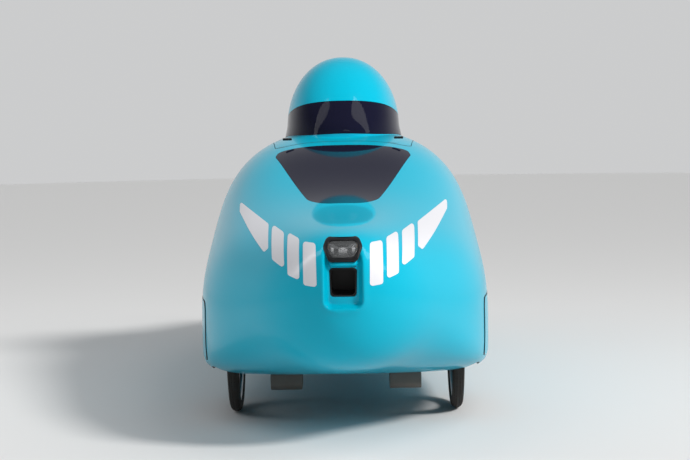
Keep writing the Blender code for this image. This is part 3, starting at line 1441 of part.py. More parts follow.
def make_pivots():
    """An empty on the joint's axis of each body that moves."""
    places = {"hood": HINGE_AXIS, "tiller": Vector((0, FRONT_AXLE.y, BEAM_TOP)), "rear_wheel": REAR_AXLE}
    places["crankset"] = CRANK_AXIS
    for name, sign in SIDES:
        kingpin = Vector((sign * KINGPIN_X, FRONT_AXLE.y, FRONT_AXLE.z))
        places["knuckle_" + name] = kingpin
        places["tie_rod_" + name] = Vector((kingpin.x, kingpin.y + STEER_ARM, ROD_HEIGHT))
        places["front_wheel_" + name] = Vector((sign * FRONT_AXLE.x, FRONT_AXLE.y, FRONT_AXLE.z))
        places["pedal_" + name] = CRANK_AXIS + Vector((sign * PEDAL_IN, sign * CRANK_LENGTH, 0))
    pivots = {"chassis": None}
    for name, place in places.items():
        pivots[name] = new_object(name + "_pivot", None, PARTS)
        pivots[name].location = place
    return pivots


def make_vehicle():
    pivots = make_pivots()
    looks = make_materials()
    layers = body_layers()
    chassis = pivots["chassis"]
    make_shells(layers, chassis, looks["paint"])
    make_panels(layers, chassis, looks)
    make_nose_fittings(layers, chassis, looks)
    make_tail_lamp(layers, chassis, looks)
    make_hood(layers, pivots["hood"], looks)
    make_hinges(layers, chassis, looks)
    make_wheel_boxes(layers, chassis, looks)
    make_front_axle(layers, pivots, looks)
    make_tiller(pivots["tiller"], looks)
    make_wheels(pivots, looks)
    make_rear_end(chassis, looks)
    make_mast(layers, chassis, looks)
    make_crankset(pivots, looks)
    make_chain(chassis, looks)
    make_seat(layers, chassis, looks)
    make_heel_fairings(layers, chassis, looks)


clear_scene()
PARTS = new_collection("velomobile")
TOOLS = new_collection("cutters")
make_vehicle()
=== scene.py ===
"""The velomobile's looks round the fixed frame: paint, glazing, trim, running gear and seat."""

import json
import math

import bmesh
import bpy
from mathutils import Matrix, Vector
from mathutils.bvhtree import BVHTree

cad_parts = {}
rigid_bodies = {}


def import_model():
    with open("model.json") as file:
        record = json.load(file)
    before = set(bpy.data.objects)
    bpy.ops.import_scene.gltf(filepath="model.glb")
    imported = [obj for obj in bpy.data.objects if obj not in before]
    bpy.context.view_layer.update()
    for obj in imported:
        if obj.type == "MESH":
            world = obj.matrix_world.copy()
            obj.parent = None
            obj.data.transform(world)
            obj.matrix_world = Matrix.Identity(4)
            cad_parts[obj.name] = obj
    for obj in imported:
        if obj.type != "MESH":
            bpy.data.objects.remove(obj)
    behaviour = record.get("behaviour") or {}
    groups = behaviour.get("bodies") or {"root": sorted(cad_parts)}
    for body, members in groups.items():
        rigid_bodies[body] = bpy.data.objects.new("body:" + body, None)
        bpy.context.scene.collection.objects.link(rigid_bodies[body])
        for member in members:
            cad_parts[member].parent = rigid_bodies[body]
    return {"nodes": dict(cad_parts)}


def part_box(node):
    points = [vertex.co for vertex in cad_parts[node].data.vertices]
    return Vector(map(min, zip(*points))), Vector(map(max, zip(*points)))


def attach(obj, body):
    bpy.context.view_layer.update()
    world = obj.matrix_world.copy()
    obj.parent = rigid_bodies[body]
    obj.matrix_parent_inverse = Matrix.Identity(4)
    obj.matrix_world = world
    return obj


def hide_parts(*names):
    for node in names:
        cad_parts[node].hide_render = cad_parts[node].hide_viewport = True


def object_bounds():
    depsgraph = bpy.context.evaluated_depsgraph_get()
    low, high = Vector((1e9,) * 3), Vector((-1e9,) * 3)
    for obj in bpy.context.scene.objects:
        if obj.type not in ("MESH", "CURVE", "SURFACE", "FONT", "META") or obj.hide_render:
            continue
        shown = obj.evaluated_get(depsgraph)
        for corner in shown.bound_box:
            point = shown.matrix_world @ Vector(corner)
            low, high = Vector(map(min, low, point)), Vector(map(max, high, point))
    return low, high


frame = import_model()
CAD_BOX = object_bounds()

# The photograph's view: camera place, lens and tilt
PHOTO_WIDTH = 690
PHOTO_CENTRE_X = 354.0
CAMERA_PLACE = Vector((0.028, -6.74, 0.98))
FOCAL_PIXELS = 2278
HORIZON_ABOVE_CENTRE = 179.7
SENSOR = 36.0
CAMERA_ROLL = math.radians(-1.0)

# The body as the frame has it
NOSE_Y = CAD_BOX[0].y
BODY_LENGTH = CAD_BOX[1].y - CAD_BOX[0].y
BODY_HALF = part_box("lower_shell")[1].x
FLOOR_Z = 0.112
DECK_Z = 0.735
BODY_RISE = DECK_Z - FLOOR_Z
HOOD_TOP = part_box("hood_shell")[1].z
SHELL_WALL = 0.005
STEER_RELIEF = 0.0015
PANEL_WALL = 0.0037
SEAM = 0.0014
LIP = 0.0009
OVERRUN = 0.03

# Sections of the body. Columns: place along the body, half width, bottom, top and waist heights as
# shares of length, half width and rise, then the powers that round the lower and the upper half.
BODY_SHARES = (
    (0.000, 0.030, 0.432, 0.480, 0.456, 2.0, 2.0),
    (0.0077, 0.200, 0.270, 0.612, 0.450, 2.1, 2.1),
    (0.023, 0.330, 0.180, 0.660, 0.425, 2.2, 2.1),
    (0.054, 0.492, 0.120, 0.688, 0.390, 2.3, 2.1),
    (0.100, 0.655, 0.088, 0.704, 0.345, 2.4, 2.15),
    (0.154, 0.835, 0.056, 0.716, 0.300, 4.0, 2.25),
    (0.208, 0.950, 0.025, 0.732, 0.260, 7.0, 2.45),
    (0.292, 1.000, 0.000, 0.778, 0.240, 9.0, 2.65),
    (0.385, 0.997, 0.000, 0.860, 0.270, 9.0, 2.75),
    (0.469, 0.985, 0.000, 0.942, 0.320, 7.5, 2.85),
    (0.558, 0.968, 0.000, 0.990, 0.370, 5.5, 2.85),
    (0.654, 0.910, 0.000, 1.000, 0.385, 4.0, 2.65),
    (0.750, 0.785, 0.006, 0.958, 0.370, 3.2, 2.45),
    (0.846, 0.585, 0.037, 0.862, 0.350, 2.6, 2.3),
    (0.923, 0.370, 0.093, 0.735, 0.355, 2.4, 2.2),
    (0.977, 0.190, 0.165, 0.620, 0.370, 2.3, 2.2),
    (1.000, 0.050, 0.230, 0.545, 0.380, 2.2, 2.2),
)
NOSE_SHARE = 0.075
NOSE_RINGS = 46
BODY_RINGS = 110
RING_POINTS = 144
SAMPLES = 400
RELAX_REACH = 9

# Sections of the hood. Columns: place, half width, height above the deck as shares, rounding power.
HOOD_SHARES = (
    (0.00, 0.06, 0.03, 2.0),
    (0.04, 0.50, 0.28, 2.0),
    (0.12, 0.76, 0.60, 2.05),
    (0.25, 0.93, 0.88, 2.1),
    (0.40, 1.00, 1.00, 2.1),
    (0.55, 0.97, 0.985, 2.1),
    (0.70, 0.83, 0.86, 2.0),
    (0.84, 0.56, 0.62, 2.0),
    (0.95, 0.24, 0.32, 2.0),
    (1.00, 0.05, 0.16, 2.0),
)
HOOD_FRONT = NOSE_Y + 0.53654 * BODY_LENGTH
HOOD_LENGTH = 0.800
HOOD_WIDTH = 0.352
HOOD_HEIGHT = 0.226
HOOD_WALL = 0.004
HOOD_SKIRT = 0.050
HOOD_FLARE, HOOD_FLARE_RISE, HOOD_FLARE_DROP = 0.007, 0.034, 0.014
HOOD_RINGS = 72
HOOD_RING_POINTS = 104

# Openings in the shell: places as shares of the length from the nose, and widths
WINDOW_FRONT_SHARE, WINDOW_WIDEST_SHARE, WINDOW_REAR_SHARE = 0.228, 0.4615, 0.481
WINDOW_FRONT_WIDTH, WINDOW_WIDTH, WINDOW_REAR_WIDTH = 0.190, 0.394, 0.378
WINDOW_TIP_SHARE, WINDOW_TIP_RADIUS = 0.27, 0.050
WINDOW_SHOULDER_SHARE, WINDOW_SHOULDER_RADIUS, WINDOW_SHOULDER_BACK = 0.485, 0.150, 0.055
LID_FRONT_SHARE, LID_WIDEST_SHARE, LID_REAR_SHARE = 0.50385, 0.677, 0.8596
LID_FRONT_WIDTH, LID_WIDTH, LID_REAR_WIDTH = 0.400, 0.452, 0.150
COVER_REACH = 0.215
COVER_LOW, COVER_HIGH = 0.168, 0.322
SPLIT_HEIGHT = 0.352
VISOR_FRONT_RISE, VISOR_REAR_RISE, VISOR_REAR = 0.118, 0.036, 0.375
VISOR_STEP, VISOR_STEP_REACH = 0.0075, 0.150
LID_GAP = 0.0035
COVER_PROUD = 0.0022
ARCH_INNER_GAP, ARCH_SIDE, ARCH_TOP = 0.0205, 0.0065, 0.150
ARCH_LENGTH_SHARE, ARCH_CORNER_SHARE = 0.97, 0.2
REAR_ARCH_HALF, REAR_ARCH_CORNER_SHARE, REAR_ARCH_RISE = 0.045, 0.7, 0.25
HINGE_BARREL, HINGE_LENGTH, HINGE_Y = 0.0036, 0.026, 0.01
# Hinge parts: start and end as shares of the half length, then radius as a share of the barrel's
HINGE_PARTS = ((-1, -0.36, 1), (-0.32, 0.32, 1), (0.36, 1, 1), (-1.06, 1.06, 0.5))
PANEL_ZONE, HOOD_ZONE = (0.15, 0.55), (0.48, 0.90)
VISOR_BEDDING = 0.001
TAIL_HALF, TAIL_REACH = 0.4, 0.1
TAIL_RIBS, TAIL_RIB_LENGTH, TAIL_RIB = 9, 0.2, 0.0012
TAIL_LOW, TAIL_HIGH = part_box("tail_lamp")[0].z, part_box("tail_lamp")[1].z
TAIL_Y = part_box("tail_lamp")[0].y

# Nose: lamp, the pocket below it and the air inlet in the pocket
LAMP_WIDTH, LAMP_HEIGHT, LAMP_CENTRE = 0.098, 0.064, 0.500
LAMP_TRIM = 0.004
BEZEL_EDGE = 0.0095
LAMP_COLUMNS, LAMP_ROWS = 9, 5
LAMP_BOWL, FACET_DEPTH, REFLECTOR_BEHIND, DISH_WALL = 0.0060, 0.0026, 0.0050, 0.001
# Blocks in the lamp: place across, width, lower and upper edge
LAMP_BLOCKS = (
    (0, 0.024, 0.479, 0.500),
    (-0.026, 0.010, 0.484, 0.507),
    (0.026, 0.010, 0.484, 0.507),
)
BLOCK_DEPTH, BLOCK_EDGE = 0.006, 0.0014
MARKER_X, MARKER_RISE, MARKER_SIZE = 0.0345, 0.006, (0.005, 0.004, 0.016)
INLET_WIDTH, INLET_LOW, INLET_HIGH, INLET_DEPTH = 0.066, 0.389, 0.457, 0.150
INLET_WALL = 0.003
POCKET_HALF_WIDTH, POCKET_LOW, POCKET_HIGH = 0.0425, 0.364, 0.530
POCKET_CORNER, POCKET_EDGE, POCKET_DEPTH = 0.016, 0.0075, 0.018
POCKET_FADE_LOW, POCKET_FADE_HIGH = 0.462, 0.522
POCKET_LIP, POCKET_LIP_REACH = 0.0026, 0.011
BAR_HALF_WIDTH, BAR_LOW, BAR_HIGH, BAR_RISE, BAR_EDGE = 0.0335, 0.4615, 0.4735, 0.0115, 0.0028
POCKET_NEAR = 0.12
NOSE_ZONE_SHARE = 0.52

FRONT_AXLE = sum(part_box("front_tyre_left"), Vector()) / 2
REAR_AXLE = sum(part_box("rear_tyre"), Vector()) / 2
FRONT_TYRE_RADIUS, FRONT_TYRE_WIDTH, FRONT_RIM_RADIUS = 0.235, 0.032, 0.2075
REAR_TYRE_RADIUS, REAR_TYRE_WIDTH, REAR_RIM_RADIUS = 0.310, 0.030, 0.2845
WHEELBASE = REAR_AXLE.y - FRONT_AXLE.y
KINGPIN_X = 0.245

# Drive: cranks, chainring, sprocket and the chain's runs as shares of the wheelbase and the rise
CRANK_AXIS = Vector((0.0, NOSE_Y + 0.1423 * BODY_LENGTH, 0.345))
CRANK_LENGTH = 0.150
CRANK_ARM = (0.060, 0.072)
PEDAL_SPAN, PEDAL_HALF, PEDAL_THICKNESS = (0.0785, 0.1400), 0.0272, 0.014
CHAINRING_RADIUS, SPROCKET_RADIUS = 0.095, 0.046
CHAIN_X, CHAIN_PITCH, CHAIN_MIDDLE = -0.042, 0.0127, 0.0035
GUIDE_RADIUS, GUIDE_BEND = 0.0075, 0.030
CHAIN_LOWER_SHARES = ((-0.0472, 0.1766), (0.0748, 0.1605), (0.1417, 0.0465), (0.4724, 0.0465))
CHAIN_UPPER_SHARES = ((0.4252, 0.0658), (0.1535, 0.0722), (0.0630, 0.2006), (-0.0472, 0.3050))
SEAT_LINE_SHARES = (
    (0.1654, 0.1493), (0.1969, 0.1124), (0.2677, 0.0963), (0.3780, 0.0963), (0.4331, 0.1252),
    (0.4803, 0.2055), (0.5669, 0.4061), (0.6614, 0.6228), (0.7480, 0.8074),
)
STEER_LIMIT = math.radians(8)
SIDES = (("left", 1), ("right", -1))

# White reflective shapes on the nose: radius of the corners, then the corners (x, z) on the +X half
REFLECTOR_SHAPES = (
    (0.0070, ((0.066, 0.514), (0.0975, 0.515), (0.0965, 0.4165), (0.064, 0.413))),
    (0.0065, ((0.1075, 0.519), (0.1385, 0.526), (0.1355, 0.4375), (0.106, 0.427))),
    (0.0065, ((0.149, 0.524), (0.184, 0.534), (0.1765, 0.467), (0.1435, 0.4505))),
    (0.0050, (
        (0.194, 0.533), (0.290, 0.564), (0.285, 0.543), (0.199, 0.478), (0.188, 0.488),
    )),
)
FILM_OUTSIDE, FILM_INSIDE, REFLECTOR_REAR = 0.00035, 0.0001, -0.3

# Section of the lamp's bezel: how far in from its outline, and how deep behind the nose
BEZEL_SECTION = (
    (0.0000, 0.0600), (0.0000, 0.0010), (0.0004, -0.0006), (0.0014, -0.0018), (0.0030, -0.0024),
    (0.0056, -0.0024), (0.0078, -0.0012), (0.0090, 0.0012), (0.0095, 0.0060), (0.0095, 0.0600),
)
LENS_SECTION = (
    (0.0100, 0.0560), (0.0100, 0.0030), (0.0110, 0.0016), (0.0130, 0.0006), (0.0180, -0.0004),
)
LENS_CROWN, LENS_WALL, LENS_SHARES = 0.0012, 0.0022, (0.66, 0.33, 0.08)
DUCT_INSET, DUCT_BACK, DUCT_ZONE = 0.001, 0.002, 0.2

# Tyres and wheels: hub sections are (radius, place along the axle)
TYRE_STEPS, TYRE_COLUMNS = 96, 34
BEAD_ANGLE, BEAD_DEPTH = 136, 0.004
TREAD_BANDS = ((6, 22), (30, 52))
TREAD_EDGE, TREAD_DEPTH = 0.00055, 0.0009
RIM_WIDTH, RIM_DEPTH = 0.022, 0.016
SPOKE_LEAN, SPOKE_RADIUS, SPOKE_HEAD = math.radians(62), 0.0010, (0.0022, 0.0019)
NIPPLE_LENGTH, NIPPLE_RADIUS, NIPPLE_END = 0.013, 0.0022, 0.0016
SPOKE_SEAT = 0.002
FRONT_HUB = (
    (0.0106, 0.0130), (0.0175, 0.0130), (0.0182, 0.0122), (0.0182, 0.0095), (0.0235, 0.0092),
    (0.0240, 0.0086), (0.0240, 0.0070), (0.0180, 0.0058), (0.0150, 0.0040), (0.0150, -0.0040),
    (0.0180, -0.0058), (0.0240, -0.0070), (0.0240, -0.0086), (0.0300, -0.0100), (0.0440, -0.0112),
    (0.0460, -0.0128), (0.0460, -0.0150), (0.0448, -0.0154), (0.0448, -0.0166), (0.0460, -0.0170),
    (0.0460, -0.0190), (0.0448, -0.0194), (0.0448, -0.0206), (0.0460, -0.0210), (0.0460, -0.0248),
    (0.0425, -0.0248), (0.0425, -0.0140), (0.0400, -0.0126), (0.0106, -0.0126),
)
REAR_HUB = (
    (0.0065, 0.0280), (0.0130, 0.0280), (0.0135, 0.0268), (0.0135, 0.0245), (0.0270, 0.0240),
    (0.0275, 0.0234), (0.0275, 0.0216), (0.0170, 0.0200), (0.0140, 0.0160), (0.0140, -0.0160),
    (0.0170, -0.0200), (0.0275, -0.0216), (0.0275, -0.0234), (0.0270, -0.0240), (0.0170, -0.0250),
    (0.0170, -0.0490), (0.0160, -0.0500), (0.0065, -0.0500),
)
# Cogs of the rear wheel: tip radius, teeth and place across, then what all of them share
COGS = ((0.0455, 22, CHAIN_X), (0.0400, 19, CHAIN_X - 0.0040), (0.0365, 17, CHAIN_X + 0.0045))
COG_TOOTH, COG_THICKNESS, COG_BORE = 0.0045, 0.0020, 0.0168

# Chain links: half height and waist of a plate, where the plates lie, and the rollers
LINK_HALF_HEIGHT, LINK_WAIST = 0.0037, 0.0028
LINK_LAYERS = ((0.0021, 0.0029), (0.0031, 0.0039))
ROLLER_HALF, ROLLER_RADIUS = 0.0040, 0.0019

# Cranks and pedals
CRANK_CAP = ((0, 0), (0.0100, 0), (0.0106, 0.0008), (0.0106, 0.0022), (0.0050, 0.0030), (0, 0.0030))
SPINDLE_HALF, PEDAL_PIN_END = 0.073, 0.1385
SPIDER_ARMS, SPIDER_TURN, SPIDER_REACH = 5, 0.3, 0.0790
CAGE_CORNER, CAGE_WINDOW_CORNER, CAGE_INSET = 0.008, 0.003, 0.0012
CAGE_WINDOWS, CAGE_WINDOW_Y = ((0.085, 0.106), (0.112, 0.134)), (0.0095, 0.0225)
STUD_PLACES, STUD_Y, STUD_RADIUS = (0.0822, 0.1090, 0.1362), 0.0244, 0.0015

# Spring units: (radius, height) of the dampers. The shock's upper heights are shares of its length.
UNIT_BASE, UNIT_TOP = 0.0003, 0.0008
STRUT_PROFILE = (
    (0, 0), (0.0135, 0), (0.0145, 0.0012), (0.0145, 0.0330), (0.0215, 0.0345), (0.0222, 0.0360),
    (0.0222, 0.0385), (0.0150, 0.0400), (0.0150, 0.0980), (0.0132, 0.1000), (0.0060, 0.1010),
    (0.0060, 0.1640), (0.0200, 0.1650), (0.0224, 0.1668), (0.0224, 0.1700), (0.0130, 0.1745),
)
STRUT_TOP_RADIUS = 0.0110
SHOCK_LOWER = (
    (0, 0), (0.0058, 0), (0.0060, 0.0200), (0.0115, 0.0215), (0.0118, 0.0250), (0.0078, 0.0262),
)
SHOCK_UPPER = (
    (0.0078, 0.62), (0.0070, 0.63), (0.0034, 0.635), (0.0034, 0.86), (0.0115, 0.865),
    (0.0118, 0.885), (0.0062, 0.90), (0.0058, 1), (0, 1),
)

# Grips: the ends of the right one, its ribs and how far it reaches below the bar's bend
GRIP_TIP = Vector((0.085, FRONT_AXLE.y + 0.4255, 0.470))
GRIP_TOP = GRIP_TIP + Vector((0, -0.017, 0.085))
GRIP_DROP, GRIP_RIBS, GRIP_SMOOTH_ENDS, GRIP_FIRST_RIB = 0.011, 12, 0.014, 0.0070
GRIP_VALLEY, GRIP_CREST = 0.0154, 0.0162
GRIP_LOWER = ((0, -0.0004), (0.0145, -0.0004), (0.0166, 0.0010), (0.0166, 0.0050))
GRIP_UPPER = ((0.0164, -0.0050), (0.0164, -0.0015), (0.0150, 0.0006), (0, 0.0006))

# Seat pad: half width, share of it that the channels cross, and (depth, width) of the grooves
PAD_HALF_WIDTH, CHANNEL_SHARE, SIDE_SEAM_X = 0.138, 0.72, 0.098
CHANNEL_GROOVE, SIDE_GROOVE = (0.0055, 0.006), (0.0045, 0.005)

# Frame parts that are carried over: finish, and how far their edges are broken
REFINED = {
    "wheel_box": ("carbon", 0.0010), "rear_wheel_box": ("carbon", 0.0010),
    "cross_beam": ("carbon", 0.0020), "lower_arm": ("steel", 0.0008), "knuckle": ("alloy", 0.0007),
    "tie_rod": ("steel", 0.0005), "tiller": ("satin_black", 0.0008), "swing_arm": ("alloy", 0.0008),
    "crank_mast": ("alloy", 0.0012), "seat": ("carbon", 0.0012),
    "heel_fairing": ("laminate", 0.0030),
}

# Soft boxes: name, place, width and length, energy
SOFT_BOXES = (
    ("soft_box_right", (2.6, -1.0, 3.4), (0.9, 4.4), 62),
    ("soft_box_left", (-2.9, -0.6, 3.2), (0.7, 4.4), 34),
    ("soft_box_front", (0.9, -5.6, 3.6), (1.6, 0.8), 16),
)
FLOOR_RADIUS = 11.0


# Helpers for meshes and pieces

def link(name, mesh):
    made = bpy.data.objects.new(name, mesh)
    bpy.context.scene.collection.objects.link(made)
    return made


def mesh_of(bm, name):
    mesh = bpy.data.meshes.new(name)
    bm.to_mesh(mesh)
    bm.free()
    return mesh


def block(size, centre, edge=0.0):
    """A box of a size round a centre, with its edges rounded if they have a radius."""
    bm = bmesh.new()
    bmesh.ops.create_cube(bm, size=1)
    bmesh.ops.scale(bm, verts=bm.verts, vec=size)
    bmesh.ops.translate(bm, verts=bm.verts, vec=centre)
    if edge:
        bmesh.ops.bevel(
            bm, geom=bm.edges, offset=edge, segments=2, affect="EDGES", profile=0.5, material=-1,
        )
    return mesh_of(bm, "block")


def body_of(node_name):
    return frame["nodes"][node_name].parent.name.removeprefix("body:")


def listed(names):
    return (names,) if isinstance(names, str) else names


def piece(name, mesh, body, looks, replaced=(), smooth=35):
    """Links a finished mesh as a piece that rides on a body. One name may stand for a tuple."""
    made = link(name, mesh)
    looks, replaced = listed(looks), listed(replaced)
    chosen = [face.material_index for face in mesh.polygons]
    mesh.materials.clear()
    for look in looks:
        mesh.materials.append(LOOKS[look])
    if len(looks) > 1:
        mesh.polygons.foreach_set("material_index", chosen)
    if smooth is not None:
        mesh.shade_smooth()
        mesh.set_sharp_from_angle(angle=math.radians(smooth))
    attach(made, body)
    if replaced:
        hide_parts(*replaced)
    return made


def evaluated(item):
    """An object's shape with its modifiers applied, as a new mesh."""
    bpy.context.view_layer.update()
    graph = bpy.context.evaluated_depsgraph_get()
    return bpy.data.meshes.new_from_object(item.evaluated_get(graph))


def boolean(target, other, operation):
    """The exact Boolean of two closed meshes, as a new mesh."""
    first, second = link("first", target), link("second", other)
    modifier = first.modifiers.new("cut", "BOOLEAN")
    modifier.operation = operation
    modifier.solver = "EXACT"
    modifier.object = second
    made = evaluated(first)
    for used in (first, second):
        bpy.data.objects.remove(used)
    return made


def cut(target, *others):
    for other in others:
        target = boolean(target, other, "DIFFERENCE")
    return target


def kept(target, *others):
    for other in others:
        target = boolean(target, other, "INTERSECT")
    return target


def joined(target, *others):
    for other in others:
        target = boolean(target, other, "UNION")
    return target


def rounded(corners, steps=10):
    """An outline whose corners (x, y, radius) are rounded by arcs."""
    points = []
    for i, (x, y, radius) in enumerate(corners):
        here = Vector((x, y))
        before = (Vector(corners[i - 1][:2]) - here).normalized()
        after = (Vector(corners[(i + 1) % len(corners)][:2]) - here).normalized()
        if radius == 0:
            points.append(tuple(here))
            continue
        half_angle = before.angle(after) / 2
        centre = here + (before + after).normalized() * (radius / math.sin(half_angle))
        start = here + before * (radius / math.tan(half_angle)) - centre
        sweep = start.angle_signed(here + after * (radius / math.tan(half_angle)) - centre)
        for k in range(steps + 1):
            points.append(tuple(centre + Matrix.Rotation(-sweep * k / steps, 2) @ start))
    return points


def rectangle(x_low, x_high, y_low, y_high, radius, steps=10):
    """The outline of a rectangle with rounded corners."""
    corners = ((x_low, y_low), (x_high, y_low), (x_high, y_high), (x_low, y_high))
    return rounded([(x, y, radius) for x, y in corners], steps)


def polar(a, b, radius, angle):
    """The point at a radius and an angle from a point (a, b)."""
    return a + radius * math.cos(angle), b + radius * math.sin(angle)


def mirrored(corners):
    """A corner list for the +X half of an outline, completed by its mirror image."""
    return list(corners) + [(-x, y, radius) for x, y, radius in reversed(corners)]


AXES = {
    "X": lambda a, b, c: (c, a, b),
    "Y": lambda a, b, c: (a, c, b),
    "Z": lambda a, b, c: (a, b, c),
}


def prism(outline, axis, start, end):
    """A closed prism of an outline. Axis X takes (y, z) points, Y takes (x, z), Z takes (x, y)."""
    place = AXES[axis]
    bm = bmesh.new()
    face = bm.faces.new([bm.verts.new(place(a, b, start)) for a, b in outline])
    grown = bmesh.ops.extrude_face_region(bm, geom=[face])
    moved = [v for v in grown["geom"] if isinstance(v, bmesh.types.BMVert)]
    bmesh.ops.translate(bm, verts=moved, vec=Vector(place(0, 0, end - start)))
    bmesh.ops.recalc_face_normals(bm, faces=bm.faces)
    return mesh_of(bm, "prism")


# The body's and the hood's smooth surfaces

def turn_of(place):
    return math.acos(1 - 2 * min(1, max(0, place))) / math.pi


def eased(table, place):
    """Reads a table of shares at a place along it, with a smooth curve through its rows."""
    knots = [turn_of(row[0]) for row in table]
    at = turn_of(place)
    i = min(len(table) - 2, max(0, sum(1 for k in knots if k <= at) - 1))
    span = knots[i + 1] - knots[i]
    t = (at - knots[i]) / span

    def slope(j, column):
        low, high = max(0, j - 1), min(len(table) - 1, j + 1)
        return (table[high][column] - table[low][column]) / (knots[high] - knots[low])

    values = []
    for column in range(1, len(table[0])):
        a, b = table[i][column], table[i + 1][column]
        rise_a, rise_b = slope(i, column) * span, slope(i + 1, column) * span
        smooth = t * t * (3 - 2 * t)
        values.append(a + (b - a) * smooth + rise_a * t * (1 - t) ** 2 - rise_b * t * t * (1 - t))
    return values


def relaxed(rows, reach):
    """Rows of values averaged with their neighbours three times, with both ends kept."""
    last = len(rows) - 1
    for _ in range(3):
        padded = [[2 * a - b for a, b in zip(rows[0], rows[k])] for k in range(reach, 0, -1)]
        padded += rows
        padded += [
            [2 * a - b for a, b in zip(rows[last], rows[last - k])] for k in range(1, reach + 1)
        ]
        width = 2 * reach + 1
        sums = [sum(column) for column in zip(*padded[:width])]
        made = [[s / width for s in sums]]
        for i in range(1, last + 1):
            sums = [s - a + b for s, a, b in zip(sums, padded[i - 1], padded[i + width - 1])]
            made.append([s / width for s in sums])
        rows = made
    return rows


class Sections:
    """A table of sections, made smooth along the body, that can be read at any place."""

    def __init__(self, table):
        places = [(1 - math.cos(math.pi * i / SAMPLES)) / 2 for i in range(SAMPLES + 1)]
        self.rows = relaxed([eased(table, place) for place in places], RELAX_REACH)

    def at(self, place):
        turn = turn_of(place) * SAMPLES
        i = min(SAMPLES - 1, int(turn))
        t = turn - i
        return [a + (b - a) * t for a, b in zip(self.rows[i], self.rows[i + 1])]

    def most(self, column):
        return max(row[column] for row in self.rows)


BODY = Sections(BODY_SHARES)
HOOD = Sections(HOOD_SHARES)
BODY_FIT = BODY_HALF / BODY.most(0)
DECK_FIT = BODY_RISE / BODY.most(2)


def body_section(place, inset=0.0):
    """(y, half width, bottom, top, waist, low power, high power) of the skin, moved in by inset."""
    half, low, high, waist, low_power, high_power = BODY.at(place)
    return (
        (NOSE_Y + place * BODY_LENGTH) * (1 - inset / (BODY_LENGTH / 2)),
        half * BODY_FIT - inset,
        FLOOR_Z + max(0, low) * BODY_RISE + inset,
        FLOOR_Z + high * DECK_FIT - inset,
        FLOOR_Z + waist * BODY_RISE,
        low_power,
        high_power,
    )


def deck_top(y, x=0.0):
    """Height of the deck at a point in plan."""
    _, half, _, high, waist, _, power = body_section((y - NOSE_Y) / BODY_LENGTH)
    return waist + (high - waist) * (1 - min(1, abs(x) / half) ** power) ** (1 / power)


def section_points(half, low, high, waist, low_power, high_power, count, flare=0.0):
    """Points round a section, spread half by length and half by how much the line turns."""
    dense = []
    steps = 360
    for k in range(steps + 1):
        angle = math.tau * k / steps - math.pi / 2
        c, s = math.cos(angle), math.sin(angle)
        power = high_power if s > 0 else low_power
        reach = (high - waist) if s > 0 else (waist - low)
        x = half * math.copysign(abs(c) ** (2 / power), c)
        rise = reach * abs(s) ** (2 / power)
        if flare:
            above = HOOD_FLARE_DROP + math.copysign(rise, s)
            x += math.copysign(flare * min(1, max(0, 1 - above / HOOD_FLARE_RISE)) ** 2.2, c)
        dense.append(Vector((x, waist + math.copysign(rise, s))))
    runs = [(b - a) for a, b in zip(dense, dense[1:])]
    total = sum(run.length for run in runs)
    marks = [0.0]
    for i, run in enumerate(runs):
        before = runs[i - 1]
        turned = before.angle(run) if before.length > 1e-7 and run.length > 1e-7 else 0.0
        marks.append(marks[-1] + run.length / total + turned / math.tau)
    points, at = [], 0
    for k in range(count):
        target = marks[-1] * k / count
        while marks[at + 1] < target:
            at += 1
        t = (target - marks[at]) / max(1e-12, marks[at + 1] - marks[at])
        points.append(dense[at].lerp(dense[at + 1], t))
    return points


def loft(rings, close=False):
    """A skin through rings of points. It joins the last ring to the first, or caps both ends."""
    bm = bmesh.new()
    loops = []
    for ring in rings:
        verts = [bm.verts.new(p) for p in ring]
        loops.append([bm.edges.new((verts[i - 1], verts[i])) for i in range(len(verts))])
    pairs = list(zip(loops, loops[1:])) + ([(loops[-1], loops[0])] if close else [])
    for first, second in pairs:
        bmesh.ops.bridge_loops(bm, edges=first + second)
    if not close:
        bmesh.ops.holes_fill(bm, edges=loops[0] + loops[-1], sides=0)
    bmesh.ops.recalc_face_normals(bm, faces=bm.faces)
    return bm


def round_box(x, z, half_width, low, high, corner):
    """Distance of a point from the edge of an upright box with rounded corners, negative inside."""
    across = abs(x) - (half_width - corner)
    up = abs(z - (low + high) / 2) - ((high - low) / 2 - corner)
    return math.hypot(max(across, 0), max(up, 0)) + min(max(across, up), 0) - corner


def smooth_step(value):
    share = min(1, max(0, value))
    return share * share * (3 - 2 * share)


def pocket_depth(x, z):
    """How far the nose is pressed in round lamp and air inlet, with its bar and its low lip."""
    outside = round_box(x, z, POCKET_HALF_WIDTH, POCKET_LOW, POCKET_HIGH, POCKET_CORNER)
    fade = 1 - smooth_step((z - POCKET_FADE_LOW) / (POCKET_FADE_HIGH - POCKET_FADE_LOW))
    depth = POCKET_DEPTH * smooth_step(0.5 - outside / (2 * POCKET_EDGE)) * fade
    lip = POCKET_LIP * math.exp(-((outside - POCKET_EDGE) / POCKET_LIP_REACH) ** 2) * fade
    bar = round_box(x, z, BAR_HALF_WIDTH, BAR_LOW, BAR_HIGH, (BAR_HIGH - BAR_LOW) / 2)
    return depth - lip - BAR_RISE * smooth_step(0.5 - bar / (2 * BAR_EDGE))


TURNS = [NOSE_SHARE * i / NOSE_RINGS for i in range(NOSE_RINGS)]
TURNS += [NOSE_SHARE + (1 - NOSE_SHARE) * i / BODY_RINGS for i in range(BODY_RINGS + 1)]
PLACES = [(1 - math.cos(math.pi * turn)) / 2 for turn in TURNS]


